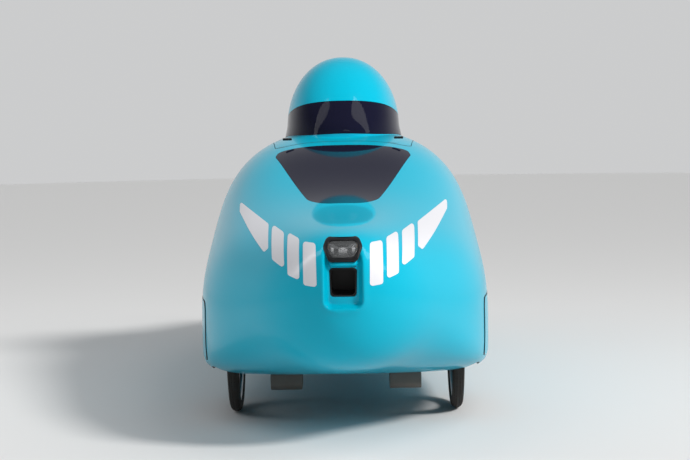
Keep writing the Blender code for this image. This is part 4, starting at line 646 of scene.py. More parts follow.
def body_mesh(inset=0.0, pocket=True, start=0.0, stop=1.0):
    """The body's surface as a closed mesh, or a length of it between two shares."""
    rings = []
    for place in PLACES:
        if start <= place <= stop:
            y, *shape = body_section(place, inset)
            rings.append([(p.x, y, p.y) for p in section_points(*shape, RING_POINTS)])
    bm = loft(rings)
    if pocket:
        for vert in bm.verts:
            x, y, z = vert.co
            if y < NOSE_Y + POCKET_NEAR and abs(x) < 2 * POCKET_HALF_WIDTH:
                vert.co.y = max(y + pocket_depth(x, z), NOSE_Y + inset)
    return mesh_of(bm, "body")


def layer(outer, inner):
    """One mesh of an outer surface and a reversed inner one, closed as a thin wall."""
    bm = bmesh.new()
    bm.from_mesh(inner)
    bmesh.ops.reverse_faces(bm, faces=bm.faces)
    bm.from_mesh(outer)
    return mesh_of(bm, "layer")


def merged(*meshes):
    """Meshes that don't touch, as one."""
    bm = bmesh.new()
    for mesh in meshes:
        bm.from_mesh(mesh)
    return mesh_of(bm, "merged")


def islands(mesh):
    """The separate bodies of a mesh, each as a mesh of its own, sorted by the X of its middle."""
    bm = bmesh.new()
    bm.from_mesh(mesh)
    left = set(bm.verts)
    groups = []
    while left:
        found, reach = set(), [left.pop()]
        while reach:
            vert = reach.pop()
            found.add(vert)
            for edge in vert.link_edges:
                other = edge.other_vert(vert)
                if other in left:
                    left.discard(other)
                    reach.append(other)
        groups.append({v.index for v in found})
    bm.free()
    parts = []
    for group in groups:
        bm = bmesh.new()
        bm.from_mesh(mesh)
        bm.verts.ensure_lookup_table()
        bmesh.ops.delete(bm, geom=[v for v in bm.verts if v.index not in group], context="VERTS")
        middle = sum(v.co.x for v in bm.verts) / len(bm.verts)
        parts.append((middle, mesh_of(bm, "island")))
    return [part for _, part in sorted(parts, key=lambda pair: pair[0])]


def hood_section(place, inset=0.0):
    half, rise, power = HOOD.at(place)
    y = HOOD_FRONT + place * HOOD_LENGTH
    deck = deck_top(y)
    middle = HOOD_FRONT + HOOD_LENGTH / 2
    y = middle + (y - middle) * (1 - inset / (HOOD_LENGTH / 2))
    half = max(half * HOOD_WIDTH / 2 - inset, inset / 2)
    top = max(deck + rise * HOOD_HEIGHT * HOOD_FIT - inset, deck + inset / 2)
    return y, half, deck - HOOD_SKIRT - inset, top, deck, 9.0, power


def hood_peak():
    tops = []
    for i in range(SAMPLES + 1):
        place = (1 - math.cos(math.pi * i / SAMPLES)) / 2
        deck = deck_top(HOOD_FRONT + place * HOOD_LENGTH)
        tops.append((HOOD_TOP - deck) / (HOOD.at(place)[1] * HOOD_HEIGHT))
    return min(tops)


HOOD_FIT = min(1.0, hood_peak() - 0.0002)


def hood_mesh(inset=0.0):
    rings = []
    for i in range(HOOD_RINGS + 1):
        y, *shape = hood_section((1 - math.cos(math.pi * i / HOOD_RINGS)) / 2, inset)
        flare = HOOD_FLARE if inset < HOOD_WALL else 0.0
        rings.append([(p.x, y, p.y) for p in section_points(*shape, HOOD_RING_POINTS, flare)])
    return mesh_of(loft(rings), "hood")


class Surface:
    """A smooth mesh whose shading normals other pieces cut from it take over."""

    def __init__(self, mesh):
        bm = bmesh.new()
        bm.from_mesh(mesh)
        bmesh.ops.triangulate(bm, faces=bm.faces)
        bm.normal_update()
        self.normals = [v.normal.copy() for v in bm.verts]
        self.faces = [tuple(v.index for v in f.verts) for f in bm.faces]
        self.points = [v.co.copy() for v in bm.verts]
        self.tree = BVHTree.FromPolygons(self.points, self.faces)
        bm.free()

    def normal(self, point, reach):
        place, _, index, distance = self.tree.find_nearest(point)
        if place is None or distance > reach:
            return None
        corners = self.faces[index]
        a, b, c = (self.points[i] for i in corners)
        area = (b - a).cross(c - a)
        if area.length < 1e-14:
            return self.normals[corners[0]]
        n = area.normalized()
        weights = [
            (end - start).cross(place - start).dot(n) for start, end in ((b, c), (c, a), (a, b))
        ]
        total = sum((self.normals[i] * w for i, w in zip(corners, weights)), Vector())
        return total.normalized()


def shade_from(mesh, surfaces, reach=0.0004, turn=30):
    """Gives a cut mesh the smooth surfaces' shading, so that no cut shows in the gloss."""
    mesh.shade_smooth()
    mesh.set_sharp_from_angle(angle=math.radians(turn))
    limit = math.cos(math.radians(turn))
    found = []
    for vert in mesh.vertices:
        near = (surface.normal(vert.co, reach) for surface in surfaces)
        found.append([normal for normal in near if normal is not None])
    normals = [Vector(n.vector) for n in mesh.corner_normals]
    for face in mesh.polygons:
        for loop in face.loop_indices:
            for smooth in found[mesh.loops[loop].vertex_index]:
                if smooth.dot(face.normal) > limit:
                    normals[loop] = smooth
                    break
    mesh.normals_split_custom_set([n if n.length > 0.5 else Vector((0, 0, 1)) for n in normals])


# Outlines of the openings

def along(share):
    """The place along the body at a share of its length."""
    return NOSE_Y + share * BODY_LENGTH


def window_outline(grow=0.0):
    front = along(WINDOW_FRONT_SHARE)
    return rounded(mirrored((
        (WINDOW_FRONT_WIDTH * WINDOW_TIP_SHARE + grow, front - grow, WINDOW_TIP_RADIUS),
        (
            WINDOW_FRONT_WIDTH * WINDOW_SHOULDER_SHARE + grow, front + WINDOW_SHOULDER_BACK,
            WINDOW_SHOULDER_RADIUS,
        ),
        (WINDOW_WIDTH / 2 + grow, along(WINDOW_WIDEST_SHARE), WINDOW_WIDTH * 0.2),
        (WINDOW_REAR_WIDTH / 2 + grow, along(WINDOW_REAR_SHARE) + grow, WINDOW_REAR_WIDTH * 0.06),
    )), 14)


def lid_outline(grow=0.0, front_gap=0.0):
    front = along(LID_FRONT_SHARE) - grow - front_gap
    return rounded(mirrored((
        (LID_FRONT_WIDTH / 2 + grow, front, LID_FRONT_WIDTH * 0.1),
        (LID_WIDTH / 2 + grow, along(LID_WIDEST_SHARE), LID_WIDTH * 0.8),
        (LID_REAR_WIDTH / 2 + grow, along(LID_REAR_SHARE) + grow, LID_REAR_WIDTH * 0.4),
    )), 16)


def cover_outline(grow=0.0):
    front = FRONT_AXLE.y - COVER_REACH - grow
    rear = FRONT_AXLE.y + COVER_REACH + grow
    radius = (COVER_HIGH - COVER_LOW) * 0.2
    return rounded((
        (front, COVER_LOW - grow, radius),
        (rear, COVER_LOW - grow, radius),
        (rear - radius, COVER_HIGH + grow, radius),
        (front, COVER_HIGH + grow, radius),
    ))


def lamp_outline(grow=0.0, steps=8):
    low = LAMP_CENTRE - LAMP_HEIGHT / 2 + LAMP_TRIM - grow
    high = LAMP_CENTRE + LAMP_HEIGHT / 2 + grow
    half = LAMP_WIDTH / 2 + grow
    return rounded(mirrored((
        (half * 0.70, low, LAMP_HEIGHT * 0.2),
        (half, low + (high - low) * 0.58, LAMP_HEIGHT * 0.26),
        (half * 0.80, high - (high - low) * 0.05, LAMP_HEIGHT * 0.24),
    )), steps)


def inlet_outline(grow=0.0):
    radius = INLET_WIDTH * 0.14
    return rounded(mirrored((
        (INLET_WIDTH / 2 * 0.94 + grow, INLET_LOW - grow, radius),
        (INLET_WIDTH / 2 + grow, INLET_HIGH + grow, radius),
    )), 8)


def arch_opening(sign):
    """The hole in the floor that a steered front wheel stands in."""
    inner = KINGPIN_X - ARCH_INNER_GAP
    reach = FRONT_TYRE_RADIUS * math.sin(STEER_LIMIT)
    outer = FRONT_AXLE.x + reach + FRONT_TYRE_WIDTH / 2 + ARCH_SIDE
    half_length = FRONT_TYRE_RADIUS * ARCH_LENGTH_SHARE
    radius = (outer - inner) * ARCH_CORNER_SHARE
    y = FRONT_AXLE.y
    outline = rectangle(inner, outer, y - half_length, y + half_length, radius)
    return prism([(sign * x, y) for x, y in outline], "Z", 0, ARCH_TOP)


def steer_relief(sign):
    """Room in the inner face of the shell for the tip of the tyre at full lock."""
    half = FRONT_TYRE_WIDTH / 2
    grown = half + STEER_RELIEF
    angles = [math.radians(-90 + 15 * k) for k in range(13)]
    middle = FRONT_TYRE_RADIUS - half
    profile = [polar(middle, 0, grown, angle) for angle in angles]
    profile += [(FRONT_TYRE_RADIUS * 0.7, grown), (FRONT_TYRE_RADIUS * 0.7, -grown)]
    mesh = turned(profile, (sign * FRONT_AXLE.x, FRONT_AXLE.y, FRONT_AXLE.z), steps=96)
    pivot = Vector((sign * KINGPIN_X, FRONT_AXLE.y, 0))
    lock = Matrix.Rotation(sign * STEER_LIMIT, 4, "Z")
    mesh.transform(Matrix.Translation(pivot) @ lock @ Matrix.Translation(-pivot))
    return mesh


def rear_opening():
    """The hole in the floor that the rear wheel stands in."""
    half_length = REAR_TYRE_RADIUS * ARCH_LENGTH_SHARE
    half, radius = REAR_ARCH_HALF, REAR_ARCH_HALF * REAR_ARCH_CORNER_SHARE
    y = REAR_AXLE.y
    outline = rectangle(-half, half, y - half_length, y + half_length, radius)
    return prism(outline, "Z", 0, FLOOR_Z + BODY_RISE * REAR_ARCH_RISE)


# Materials

def feed(tree, socket, value):
    """Links a socket to another node's output, or sets its own value."""
    if isinstance(value, bpy.types.NodeSocket):
        tree.links.new(value, socket)
    else:
        socket.default_value = value


def new_group(name, inputs, outputs):
    tree = bpy.data.node_groups.new(name, "ShaderNodeTree")
    for label, kind, value in inputs:
        socket = tree.interface.new_socket(name=label, in_out="INPUT", socket_type=kind)
        socket.default_value = value
    for label, kind in outputs:
        tree.interface.new_socket(name=label, in_out="OUTPUT", socket_type=kind)
    return tree, tree.nodes.new("NodeGroupInput"), tree.nodes.new("NodeGroupOutput")


def maths(tree, operation, a, b=0.5, clamp=False):
    made = tree.nodes.new("ShaderNodeMath")
    made.operation = operation
    made.use_clamp = clamp
    for socket, value in zip(made.inputs, (a, b)):
        feed(tree, socket, value)
    return made.outputs[0]


def blended(tree, factor, a, b):
    made = tree.nodes.new("ShaderNodeMix")
    made.data_type = "RGBA"
    for number, value in ((0, factor), (6, a), (7, b)):
        feed(tree, made.inputs[number], value)
    return made.outputs[2]


def noise(tree, scale, detail=4.0):
    made = tree.nodes.new("ShaderNodeTexNoise")
    made.inputs["Scale"].default_value = scale
    made.inputs["Detail"].default_value = detail
    where = tree.nodes.new("ShaderNodeTexCoord").outputs["Object"]
    tree.links.new(where, made.inputs["Vector"])
    return made.outputs["Fac"]


def uneven_group():
    """A tone that drifts softly over a surface, with a matching drift of its gloss."""
    tree, given, out = new_group("uneven_tone", (
        ("Colour", "NodeSocketColor", (0.5, 0.5, 0.5, 1)),
        ("Drift", "NodeSocketFloat", 0.1),
        ("Roughness", "NodeSocketFloat", 0.4),
        ("Roughness drift", "NodeSocketFloat", 0.1),
    ), (("Colour", "NodeSocketColor"), ("Roughness", "NodeSocketFloat")))
    large = maths(tree, "MULTIPLY", noise(tree, 3.0), 0.7)
    small = maths(tree, "MULTIPLY", noise(tree, 60.0, 6.0), 0.3)
    centred = maths(tree, "SUBTRACT", maths(tree, "ADD", large, small), 0.5)
    tone = maths(tree, "ADD", maths(tree, "MULTIPLY", centred, given.outputs["Drift"]), 1.0)
    scaled = tree.nodes.new("ShaderNodeVectorMath")
    scaled.operation = "SCALE"
    tree.links.new(given.outputs["Colour"], scaled.inputs[0])
    tree.links.new(tone, scaled.inputs["Scale"])
    tree.links.new(scaled.outputs[0], out.inputs["Colour"])
    gloss = maths(tree, "MULTIPLY", centred, given.outputs["Roughness drift"])
    gloss = maths(tree, "ADD", gloss, given.outputs["Roughness"], True)
    tree.links.new(gloss, out.inputs["Roughness"])
    return tree


def dust_group():
    """Road dust that gathers low on the vehicle."""
    tree, given, out = new_group("low_dust", (
        ("Colour", "NodeSocketColor", (0.5, 0.5, 0.5, 1)),
        ("Roughness", "NodeSocketFloat", 0.2),
        ("Top", "NodeSocketFloat", 0.25),
        ("Amount", "NodeSocketFloat", 0.3),
    ), (("Colour", "NodeSocketColor"), ("Roughness", "NodeSocketFloat")))
    where = tree.nodes.new("ShaderNodeTexCoord")
    split = tree.nodes.new("ShaderNodeSeparateXYZ")
    tree.links.new(where.outputs["Object"], split.inputs[0])
    below = maths(tree, "SUBTRACT", given.outputs["Top"], split.outputs["Z"])
    share = maths(tree, "DIVIDE", below, given.outputs["Top"], True)
    patchy = maths(tree, "MULTIPLY", share, maths(tree, "ADD", noise(tree, 24.0, 8.0), 0.2))
    amount = maths(tree, "MULTIPLY", patchy, given.outputs["Amount"], True)
    dust = (0.20, 0.17, 0.14, 1)
    tree.links.new(blended(tree, amount, given.outputs["Colour"], dust), out.inputs["Colour"])
    dulled = maths(tree, "MULTIPLY", amount, 0.6)
    rough = maths(tree, "ADD", given.outputs["Roughness"], dulled, True)
    tree.links.new(rough, out.inputs["Roughness"])
    return tree


def weave_group():
    """The twill of a woven laminate or cloth: a light and dark mask and a height."""
    tree, given, out = new_group("twill_weave", (
        ("Pitch", "NodeSocketFloat", 0.0025),
    ), (("Mask", "NodeSocketFloat"), ("Height", "NodeSocketFloat")))
    where = tree.nodes.new("ShaderNodeTexCoord")
    split = tree.nodes.new("ShaderNodeSeparateXYZ")
    tree.links.new(where.outputs["Object"], split.inputs[0])
    x, y, z = split.outputs
    across = maths(tree, "DIVIDE", maths(tree, "ADD", x, z), given.outputs["Pitch"])
    slant = maths(tree, "SUBTRACT", y, maths(tree, "MULTIPLY", z, 0.35))
    lengthwise = maths(tree, "DIVIDE", slant, given.outputs["Pitch"])
    step = maths(tree, "ADD", maths(tree, "FLOOR", across), maths(tree, "FLOOR", lengthwise))
    over = maths(tree, "LESS_THAN", maths(tree, "FLOORED_MODULO", step, 4.0), 2.0)
    tree.links.new(over, out.inputs["Mask"])
    ridge_a = maths(tree, "SINE", maths(tree, "MULTIPLY", across, math.tau))
    ridge_b = maths(tree, "SINE", maths(tree, "MULTIPLY", lengthwise, math.tau))
    mix = tree.nodes.new("ShaderNodeMix")
    tree.links.new(over, mix.inputs[0])
    tree.links.new(ridge_a, mix.inputs[2])
    tree.links.new(ridge_b, mix.inputs[3])
    tree.links.new(mix.outputs[0], out.inputs["Height"])
    return tree


GROUPS = {"uneven": uneven_group(), "dust": dust_group(), "weave": weave_group()}


def use_group(tree, name, **values):
    made = tree.nodes.new("ShaderNodeGroup")
    made.node_tree = GROUPS[name]
    for key, value in values.items():
        feed(tree, made.inputs[key.replace("_", " ")], value)
    return made


def bump(tree, shader, height, strength, distance):
    made = tree.nodes.new("ShaderNodeBump")
    made.inputs["Strength"].default_value = strength
    made.inputs["Distance"].default_value = distance
    tree.links.new(height, made.inputs["Height"])
    tree.links.new(made.outputs[0], shader.inputs["Normal"])


def new_material(name):
    made = bpy.data.materials.new(name)
    made.use_nodes = True
    return made, made.node_tree, made.node_tree.nodes["Principled BSDF"]


def coat_shader(tree, shader, tone, sockets):
    """Gives a shader its colour and roughness from a tone, and its constants."""
    tree.links.new(tone.outputs["Colour"], shader.inputs["Base Color"])
    tree.links.new(tone.outputs["Roughness"], shader.inputs["Roughness"])
    for key, value in sockets.items():
        shader.inputs[key.replace("_", " ")].default_value = value


def finish(
    name, colour, roughness, drift=0.1, rough_drift=0.1, dust=0.0, dust_top=0.3, texture=None,
    **sockets,
):
    """A material whose colour and gloss drift, with dust low down and a fine bump."""
    made, tree, shader = new_material(name)
    tone = use_group(
        tree, "uneven", Colour=(*colour, 1), Drift=drift, Roughness=roughness,
        Roughness_drift=rough_drift,
    )
    if dust:
        tone = use_group(
            tree, "dust", Colour=tone.outputs["Colour"], Roughness=tone.outputs["Roughness"],
            Top=dust_top, Amount=dust,
        )
    coat_shader(tree, shader, tone, sockets)
    if texture:
        scale, strength, distance = texture
        bump(tree, shader, noise(tree, scale, 6.0), strength, distance)
    return made


def woven(name, colour, light, roughness, pitch, strength, **sockets):
    """A material with a woven surface."""
    made, tree, shader = new_material(name)
    weave = use_group(tree, "weave", Pitch=pitch)
    base = blended(tree, weave.outputs["Mask"], (*colour, 1), (*light, 1))
    tone = use_group(
        tree, "uneven", Colour=base, Drift=0.25, Roughness=roughness, Roughness_drift=0.15,
    )
    coat_shader(tree, shader, tone, sockets)
    bump(tree, shader, weave.outputs["Height"], strength, pitch * 0.2)
    return made


LOOKS = {
    "paint": finish(
        "turquoise_gel_coat", (0.0, 0.43, 0.60), 0.35, 0.06, 0.05, dust=0.35, dust_top=0.24,
        texture=(900.0, 0.02, 0.0002), Specular_IOR_Level=0.05, Coat_Weight=0.6,
        Coat_Roughness=0.04, Coat_IOR=1.32,
    ),
    "sticker": finish(
        "white_reflective_film", (0.76, 0.76, 0.80), 0.32, 0.04, 0.1,
        texture=(2600.0, 0.08, 0.0002), Coat_Weight=0.35, Coat_Roughness=0.12,
    ),
    "glazing": finish(
        "tinted_acrylic", (0.009, 0.009, 0.024), 0.05, 0.2, 0.04, texture=(14.0, 0.02, 0.001),
        IOR=1.18, Alpha=0.94,
    ),
    "lens": finish(
        "clear_polycarbonate", (0.50, 0.52, 0.54), 0.03, 0.02, 0.02, IOR=1.45, Alpha=0.05,
    ),
    "chrome": finish("lamp_chrome", (0.94, 0.95, 0.97), 0.16, 0.1, 0.06, Metallic=0.75),
    "amber": finish(
        "side_reflector", (0.62, 0.36, 0.16), 0.25, 0.2, 0.1, texture=(700.0, 0.4, 0.0006),
    ),
    "red": finish(
        "red_tail_lens", (0.42, 0.006, 0.008), 0.12, 0.1, 0.05, texture=(420.0, 0.25, 0.0006),
        Coat_Weight=1.0, Coat_Roughness=0.04,
    ),
    "black": finish(
        "black_moulding", (0.008, 0.008, 0.009), 0.34, 0.3, 0.15, texture=(1500.0, 0.15, 0.0002),
        Specular_IOR_Level=0.3,
    ),
    "carbon": woven(
        "carbon_twill", (0.010, 0.010, 0.011), (0.045, 0.046, 0.050), 0.32, 0.0026, 0.25,
        Coat_Weight=0.6, Coat_Roughness=0.12,
    ),
    "laminate": finish(
        "bare_grey_laminate", (0.115, 0.108, 0.098), 0.7, 0.7, 0.2, dust=0.4, dust_top=0.2,
        texture=(240.0, 0.3, 0.0006), Specular_IOR_Level=0.3,
    ),
    "inside": woven(
        "inner_laminate", (0.020, 0.020, 0.018), (0.040, 0.038, 0.030), 0.55, 0.0034, 0.3,
    ),
    "alloy": finish(
        "satin_alloy", (0.60, 0.60, 0.62), 0.34, 0.12, 0.2, texture=(300.0, 0.08, 0.0002),
        Metallic=1.0,
    ),
    "steel": finish(
        "zinc_steel", (0.42, 0.42, 0.44), 0.38, 0.2, 0.25, texture=(500.0, 0.1, 0.0002),
        Metallic=1.0,
    ),
    "satin_black": finish(
        "black_anodised", (0.018, 0.018, 0.020), 0.42, 0.3, 0.2, texture=(600.0, 0.15, 0.0002),
        Metallic=0.6,
    ),
    "chain": finish(
        "oiled_chain_steel", (0.22, 0.20, 0.18), 0.38, 0.5, 0.3, texture=(400.0, 0.2, 0.0002),
        Metallic=1.0,
    ),
    "rubber": finish(
        "tyre_rubber", (0.014, 0.014, 0.014), 0.78, 0.4, 0.2, dust=0.12, dust_top=0.5,
        texture=(420.0, 0.35, 0.0004),
    ),
    "fabric": woven(
        "seat_mesh_fabric", (0.012, 0.012, 0.013), (0.040, 0.040, 0.043), 0.9, 0.0030, 0.8,
        Sheen_Weight=0.35, Sheen_Roughness=0.5,
    ),
}


# Body pieces

def mark_inside(mesh, surfaces, reach=0.0004):
    """Gives the faces that don't lie on an outer skin the second material."""
    for face in mesh.polygons:
        near = [surface.normal(face.center, reach) for surface in surfaces]
        outside = any(n is not None and n.dot(face.normal) > 0.5 for n in near)
        face.material_index = 0 if outside else 1


def upright(outline):
    """A prism of an outline in plan, through all that lies above the split."""
    return prism(outline, "Z", SPLIT_HEIGHT, HOOD_TOP)


def wall(zone):
    """A length of the body's outer wall, as thick as window and lid are."""
    return layer(body_mesh(0, False, *zone), body_mesh(PANEL_WALL, False, *zone))


def tail_block(start):
    """A block round the end of the tail."""
    outline = (
        (-TAIL_HALF, TAIL_LOW), (TAIL_HALF, TAIL_LOW), (TAIL_HALF, TAIL_HIGH),
        (-TAIL_HALF, TAIL_HIGH),
    )
    return prism(outline, "Y", start, TAIL_Y + TAIL_REACH)


def make_body(surface):
    """The painted shell as one skin, with its window and its wheel covers."""
    ahead, behind = NOSE_Y - OVERRUN, NOSE_Y + INLET_DEPTH
    sides = {name: sorted((sign * BODY_HALF * 0.6, sign * BODY_HALF * 2)) for name, sign in SIDES}
    cutters = [
        upright(window_outline(SEAM / 2)),
        upright(lid_outline(SEAM, LID_GAP)),
        prism(lamp_outline(-LIP), "Y", ahead, behind),
        prism(inlet_outline(LIP), "Y", ahead, behind),
        rear_opening(),
        tail_block(TAIL_Y),
    ]
    for name, _ in SIDES:
        cutters.append(prism(cover_outline(SEAM * 1.8), "X", *sides[name]))
    shell = cut(layer(body_mesh(), body_mesh(SHELL_WALL)), merged(*cutters))
    shell = cut(shell, merged(*(arch_opening(sign) for _, sign in SIDES)))
    for _, sign in SIDES:
        shell = cut(shell, steer_relief(sign))
    mark_inside(shell, [surface])
    both = ("paint", "inside")
    piece("body_skin", shell, "chassis", both, ("lower_shell", "upper_shell"), None)
    shade_from(shell, [surface])

    outlines = [upright(window_outline())]
    outlines += [prism(cover_outline(), "X", *sides[name]) for name, _ in SIDES]
    right, window, left = islands(kept(wall(PANEL_ZONE), merged(*outlines)))
    piece("window_panel", window, "chassis", "glazing", "deck_window", None)
    shade_from(window, [surface])
    for name, cover in (("left", left), ("right", right)):
        mark_inside(cover, [surface])
        piece(
            "wheel_cover_panel_" + name, cover, "chassis", ("paint", "black"),
            "wheel_cover_" + name, None,
        )
        shade_from(cover, [surface])
        for vert in cover.vertices:
            ahead = smooth_step((FRONT_AXLE.y - vert.co.y) / COVER_REACH)
            vert.co.x += math.copysign(COVER_PROUD * ahead, vert.co.x)


def visor_outline(grow=0.0):
    """Side view of the part of the hood that is glazed."""
    slope = (VISOR_REAR_RISE - VISOR_FRONT_RISE) / VISOR_REAR
    ahead = HOOD_FRONT - HOOD_LENGTH * 0.04
    rear = HOOD_FRONT + VISOR_REAR + grow
    base = deck_top(HOOD_FRONT)
    return rounded((
        (ahead, base - HOOD_SKIRT, 0),
        (rear, base - HOOD_SKIRT, 0),
        (rear, base + VISOR_REAR_RISE + grow, VISOR_REAR_RISE * 0.5),
        (ahead, base + VISOR_FRONT_RISE + slope * (ahead - HOOD_FRONT) + grow, 0),
    ))


def raised_deck(extra):
    """The deck with the low upstand that the visor stands on, highest in the middle."""
    mesh = body_mesh(-VISOR_BEDDING - extra, False, *HOOD_ZONE)
    for vert in mesh.vertices:
        if vert.co.z > SPLIT_HEIGHT:
            vert.co.z += VISOR_STEP * smooth_step(1 - abs(vert.co.x) / VISOR_STEP_REACH)
    return mesh


def visor_block(grow, extra):
    """All that lies inside the visor's side view and above the raised deck."""
    return cut(prism(visor_outline(grow), "X", -BODY_HALF, BODY_HALF), raised_deck(extra))


def make_hood(surface):
    """The lid with the head hood on it, and the wrap-round visor."""
    outside = hood_mesh()
    inside = hood_mesh(HOOD_WALL)
    dome_surface = Surface(outside)
    lid = kept(wall(HOOD_ZONE), upright(lid_outline()))
    dome = cut(outside.copy(), body_mesh(PANEL_WALL / 2, False, *HOOD_ZONE))
    lid = cut(joined(lid, dome), inside.copy(), visor_block(SEAM, 0))
    mark_inside(lid, [dome_surface, surface])
    piece("lid_and_hood", lid, "hood", ("paint", "inside"), "hood_shell", None)
    shade_from(lid, [dome_surface, surface])
    screen = kept(layer(outside, inside), visor_block(0, SEAM / 2))
    piece("visor_screen", screen, "hood", "glazing", "visor", None)
    shade_from(screen, [dome_surface])


def make_hinges():
    """The hood's two small hinges: a knuckled barrel on its pin."""
    for name, _ in SIDES:
        node_name = "hood_hinge_" + name
        low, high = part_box(node_name)
        middle = (low + high) / 2
        parts = []
        for start, end, share in HINGE_PARTS:
            radius = HINGE_BARREL * share
            bm = bmesh.new()
            bmesh.ops.create_cone(
                bm, cap_ends=True, segments=20, radius1=radius, radius2=radius,
                depth=(end - start) * HINGE_LENGTH / 2,
            )
            bmesh.ops.rotate(bm, verts=bm.verts, matrix=Matrix.Rotation(math.pi / 2, 3, "Y"))
            x = middle.x + (start + end) / 2 * HINGE_LENGTH / 2
            bmesh.ops.translate(bm, verts=bm.verts, vec=(x, HINGE_Y, high.z - HINGE_BARREL))
            bmesh.ops.bevel(
                bm, geom=[e for e in bm.edges if not e.is_manifold or e.calc_face_angle(0) > 1],
                offset=0.0004, segments=2, affect="EDGES", profile=0.5, material=-1,
            )
            parts.append(mesh_of(bm, "knuckle"))
        body = body_of(node_name)
        piece(node_name + "_barrel", merged(*parts), body, "black", node_name, 30)


def make_reflectors():
    """The white reflective shapes stuck on the nose."""
    outer = body_mesh(-FILM_OUTSIDE, True, 0, NOSE_ZONE_SHARE)
    film = layer(outer, body_mesh(-FILM_INSIDE, True, 0, NOSE_ZONE_SHARE))
    shapes = []
    for _, sign in SIDES:
        for radius, corners in REFLECTOR_SHAPES:
            outline = rounded([(x, z, radius) for x, z in corners], 6)
            outline = [(sign * x, z) for x, z in outline]
            shapes.append(prism(outline, "Y", NOSE_Y - OVERRUN, REFLECTOR_REAR))
    surface = Surface(outer)
    for number, shape in enumerate(islands(kept(film, merged(*shapes))), 1):
        piece(f"reflector_{number}", shape, "chassis", "sticker", (), None)
        shade_from(shape, [surface], 0.0002)


def nose_point(tree, x, z, deeper=0.0):
    """The point of the nose that lies straight behind a point (x, z) of the front view."""
    place, _, _, _ = tree.ray_cast(Vector((x, NOSE_Y - 1, z)), Vector((0, 1, 0)))
    return Vector((x, place.y + deeper, z))


def make_nose_fittings():
    """Lamp bezel, lens, reflector and the air inlet's duct."""
    nose = Surface(body_mesh(0, False, 0, NOSE_ZONE_SHARE)).tree

    def rings(section):
        return [[nose_point(nose, x, z, d) for x, z in lamp_outline(-g)] for g, d in section]

    bezel = mesh_of(loft(rings(BEZEL_SECTION), True), "bezel")
    piece("lamp_bezel", bezel, "chassis", "black", "headlamp_bezel")
    lens = rings(LENS_SECTION)
    rim = lens[-1]
    crown = nose_point(nose, 0, LAMP_CENTRE) + Vector((0, -LENS_CROWN, 0))
    lens += [[crown.lerp(p, share) for p in rim] for share in LENS_SHARES]
    inner = [[p + Vector((0, LENS_WALL, 0)) for p in ring] for ring in reversed(lens[2:])]
    glass = mesh_of(loft(lens + inner), "lens")
    piece("lamp_lens", glass, "chassis", "lens", "headlamp_lens")
    make_lamp_inside(nose)

    behind = NOSE_Y + INLET_DEPTH
    duct = prism(inlet_outline(), "Y", NOSE_Y - OVERRUN, behind)
    duct = kept(duct, body_mesh(DUCT_INSET, True, 0, DUCT_ZONE))
    bore = prism(inlet_outline(-INLET_WALL), "Y", NOSE_Y - 2 * OVERRUN, behind - DUCT_BACK)
    piece("air_duct", cut(duct, bore), "chassis", "black", "air_inlet_duct")


def make_lamp_inside(nose):
    """The chrome reflector's facets behind the lens, its blocks and the side reflectors."""
    half = LAMP_WIDTH / 2 - BEZEL_EDGE - DISH_WALL
    low, high = LAMP_CENTRE - LAMP_HEIGHT / 2, LAMP_CENTRE + LAMP_HEIGHT / 2
    deepest = max(nose_point(nose, x, z).y for x in (-half, 0, half) for z in (low, high))
    back = deepest + REFLECTOR_BEHIND
    bm = bmesh.new()
    bmesh.ops.create_grid(bm, x_segments=LAMP_COLUMNS * 2, y_segments=LAMP_ROWS * 2, size=0.5)
    for vert in bm.verts:
        u, v = vert.co.x + 0.5, vert.co.y + 0.5
        column, row = round(u * LAMP_COLUMNS * 2), round(v * LAMP_ROWS * 2)
        ridge = FACET_DEPTH * (0.5 if (column % 2) != (row % 2) else column % 2)
        bowl = LAMP_BOWL * (1 - (2 * u - 1) ** 2 * 0.6 - (2 * v - 1) ** 2 * 0.4)
        vert.co = (half * (2 * u - 1), back + bowl + ridge, low + (high - low) * v)
    bmesh.ops.recalc_face_normals(bm, faces=bm.faces)
    bmesh.ops.solidify(bm, geom=bm.faces, thickness=DISH_WALL)
    room = prism(lamp_outline(-BEZEL_EDGE - 0.0006), "Y", NOSE_Y - OVERRUN, NOSE_Y + 0.2)
    parts = [kept(mesh_of(bm, "dish"), room)]
    face = back + DISH_WALL
    for x, width, lower, upper in LAMP_BLOCKS:
        size = (width, BLOCK_DEPTH, upper - lower)
        parts.append(block(size, (x, face, (lower + upper) / 2), BLOCK_EDGE))
    piece("lamp_reflector", merged(*parts), "chassis", "chrome", (), 20)
    markers = []
    for sign in (-1, 1):
        place = (sign * MARKER_X, face, LAMP_CENTRE + MARKER_RISE)
        markers.append(block(MARKER_SIZE, place))
    piece("lamp_side_markers", merged(*markers), "chassis", "amber", (), 20)


# Running gear

def turned(profile, centre, axis=(1, 0, 0), steps=48, closed=True):
    """A solid of revolution round an axis, from (radius, place along the axis) points."""
    bm = bmesh.new()
    verts = [bm.verts.new((along_axis, 0, radius)) for radius, along_axis in profile]
    pairs = zip(verts, verts[1:] + (verts[:1] if closed else []))
    edges = [bm.edges.new(pair) for pair in pairs]
    bmesh.ops.spin(
        bm, geom=verts + edges, cent=(0, 0, 0), axis=(1, 0, 0), angle=math.tau, steps=steps,
        use_merge=True,
    )
    bmesh.ops.remove_doubles(bm, verts=bm.verts, dist=1e-6)
    bmesh.ops.recalc_face_normals(bm, faces=bm.faces)
    turn = Vector((1, 0, 0)).rotation_difference(Vector(axis)).to_matrix()
    bmesh.ops.rotate(bm, verts=bm.verts, cent=(0, 0, 0), matrix=turn)
    bmesh.ops.translate(bm, verts=bm.verts, vec=centre)
    return mesh_of(bm, "turned")


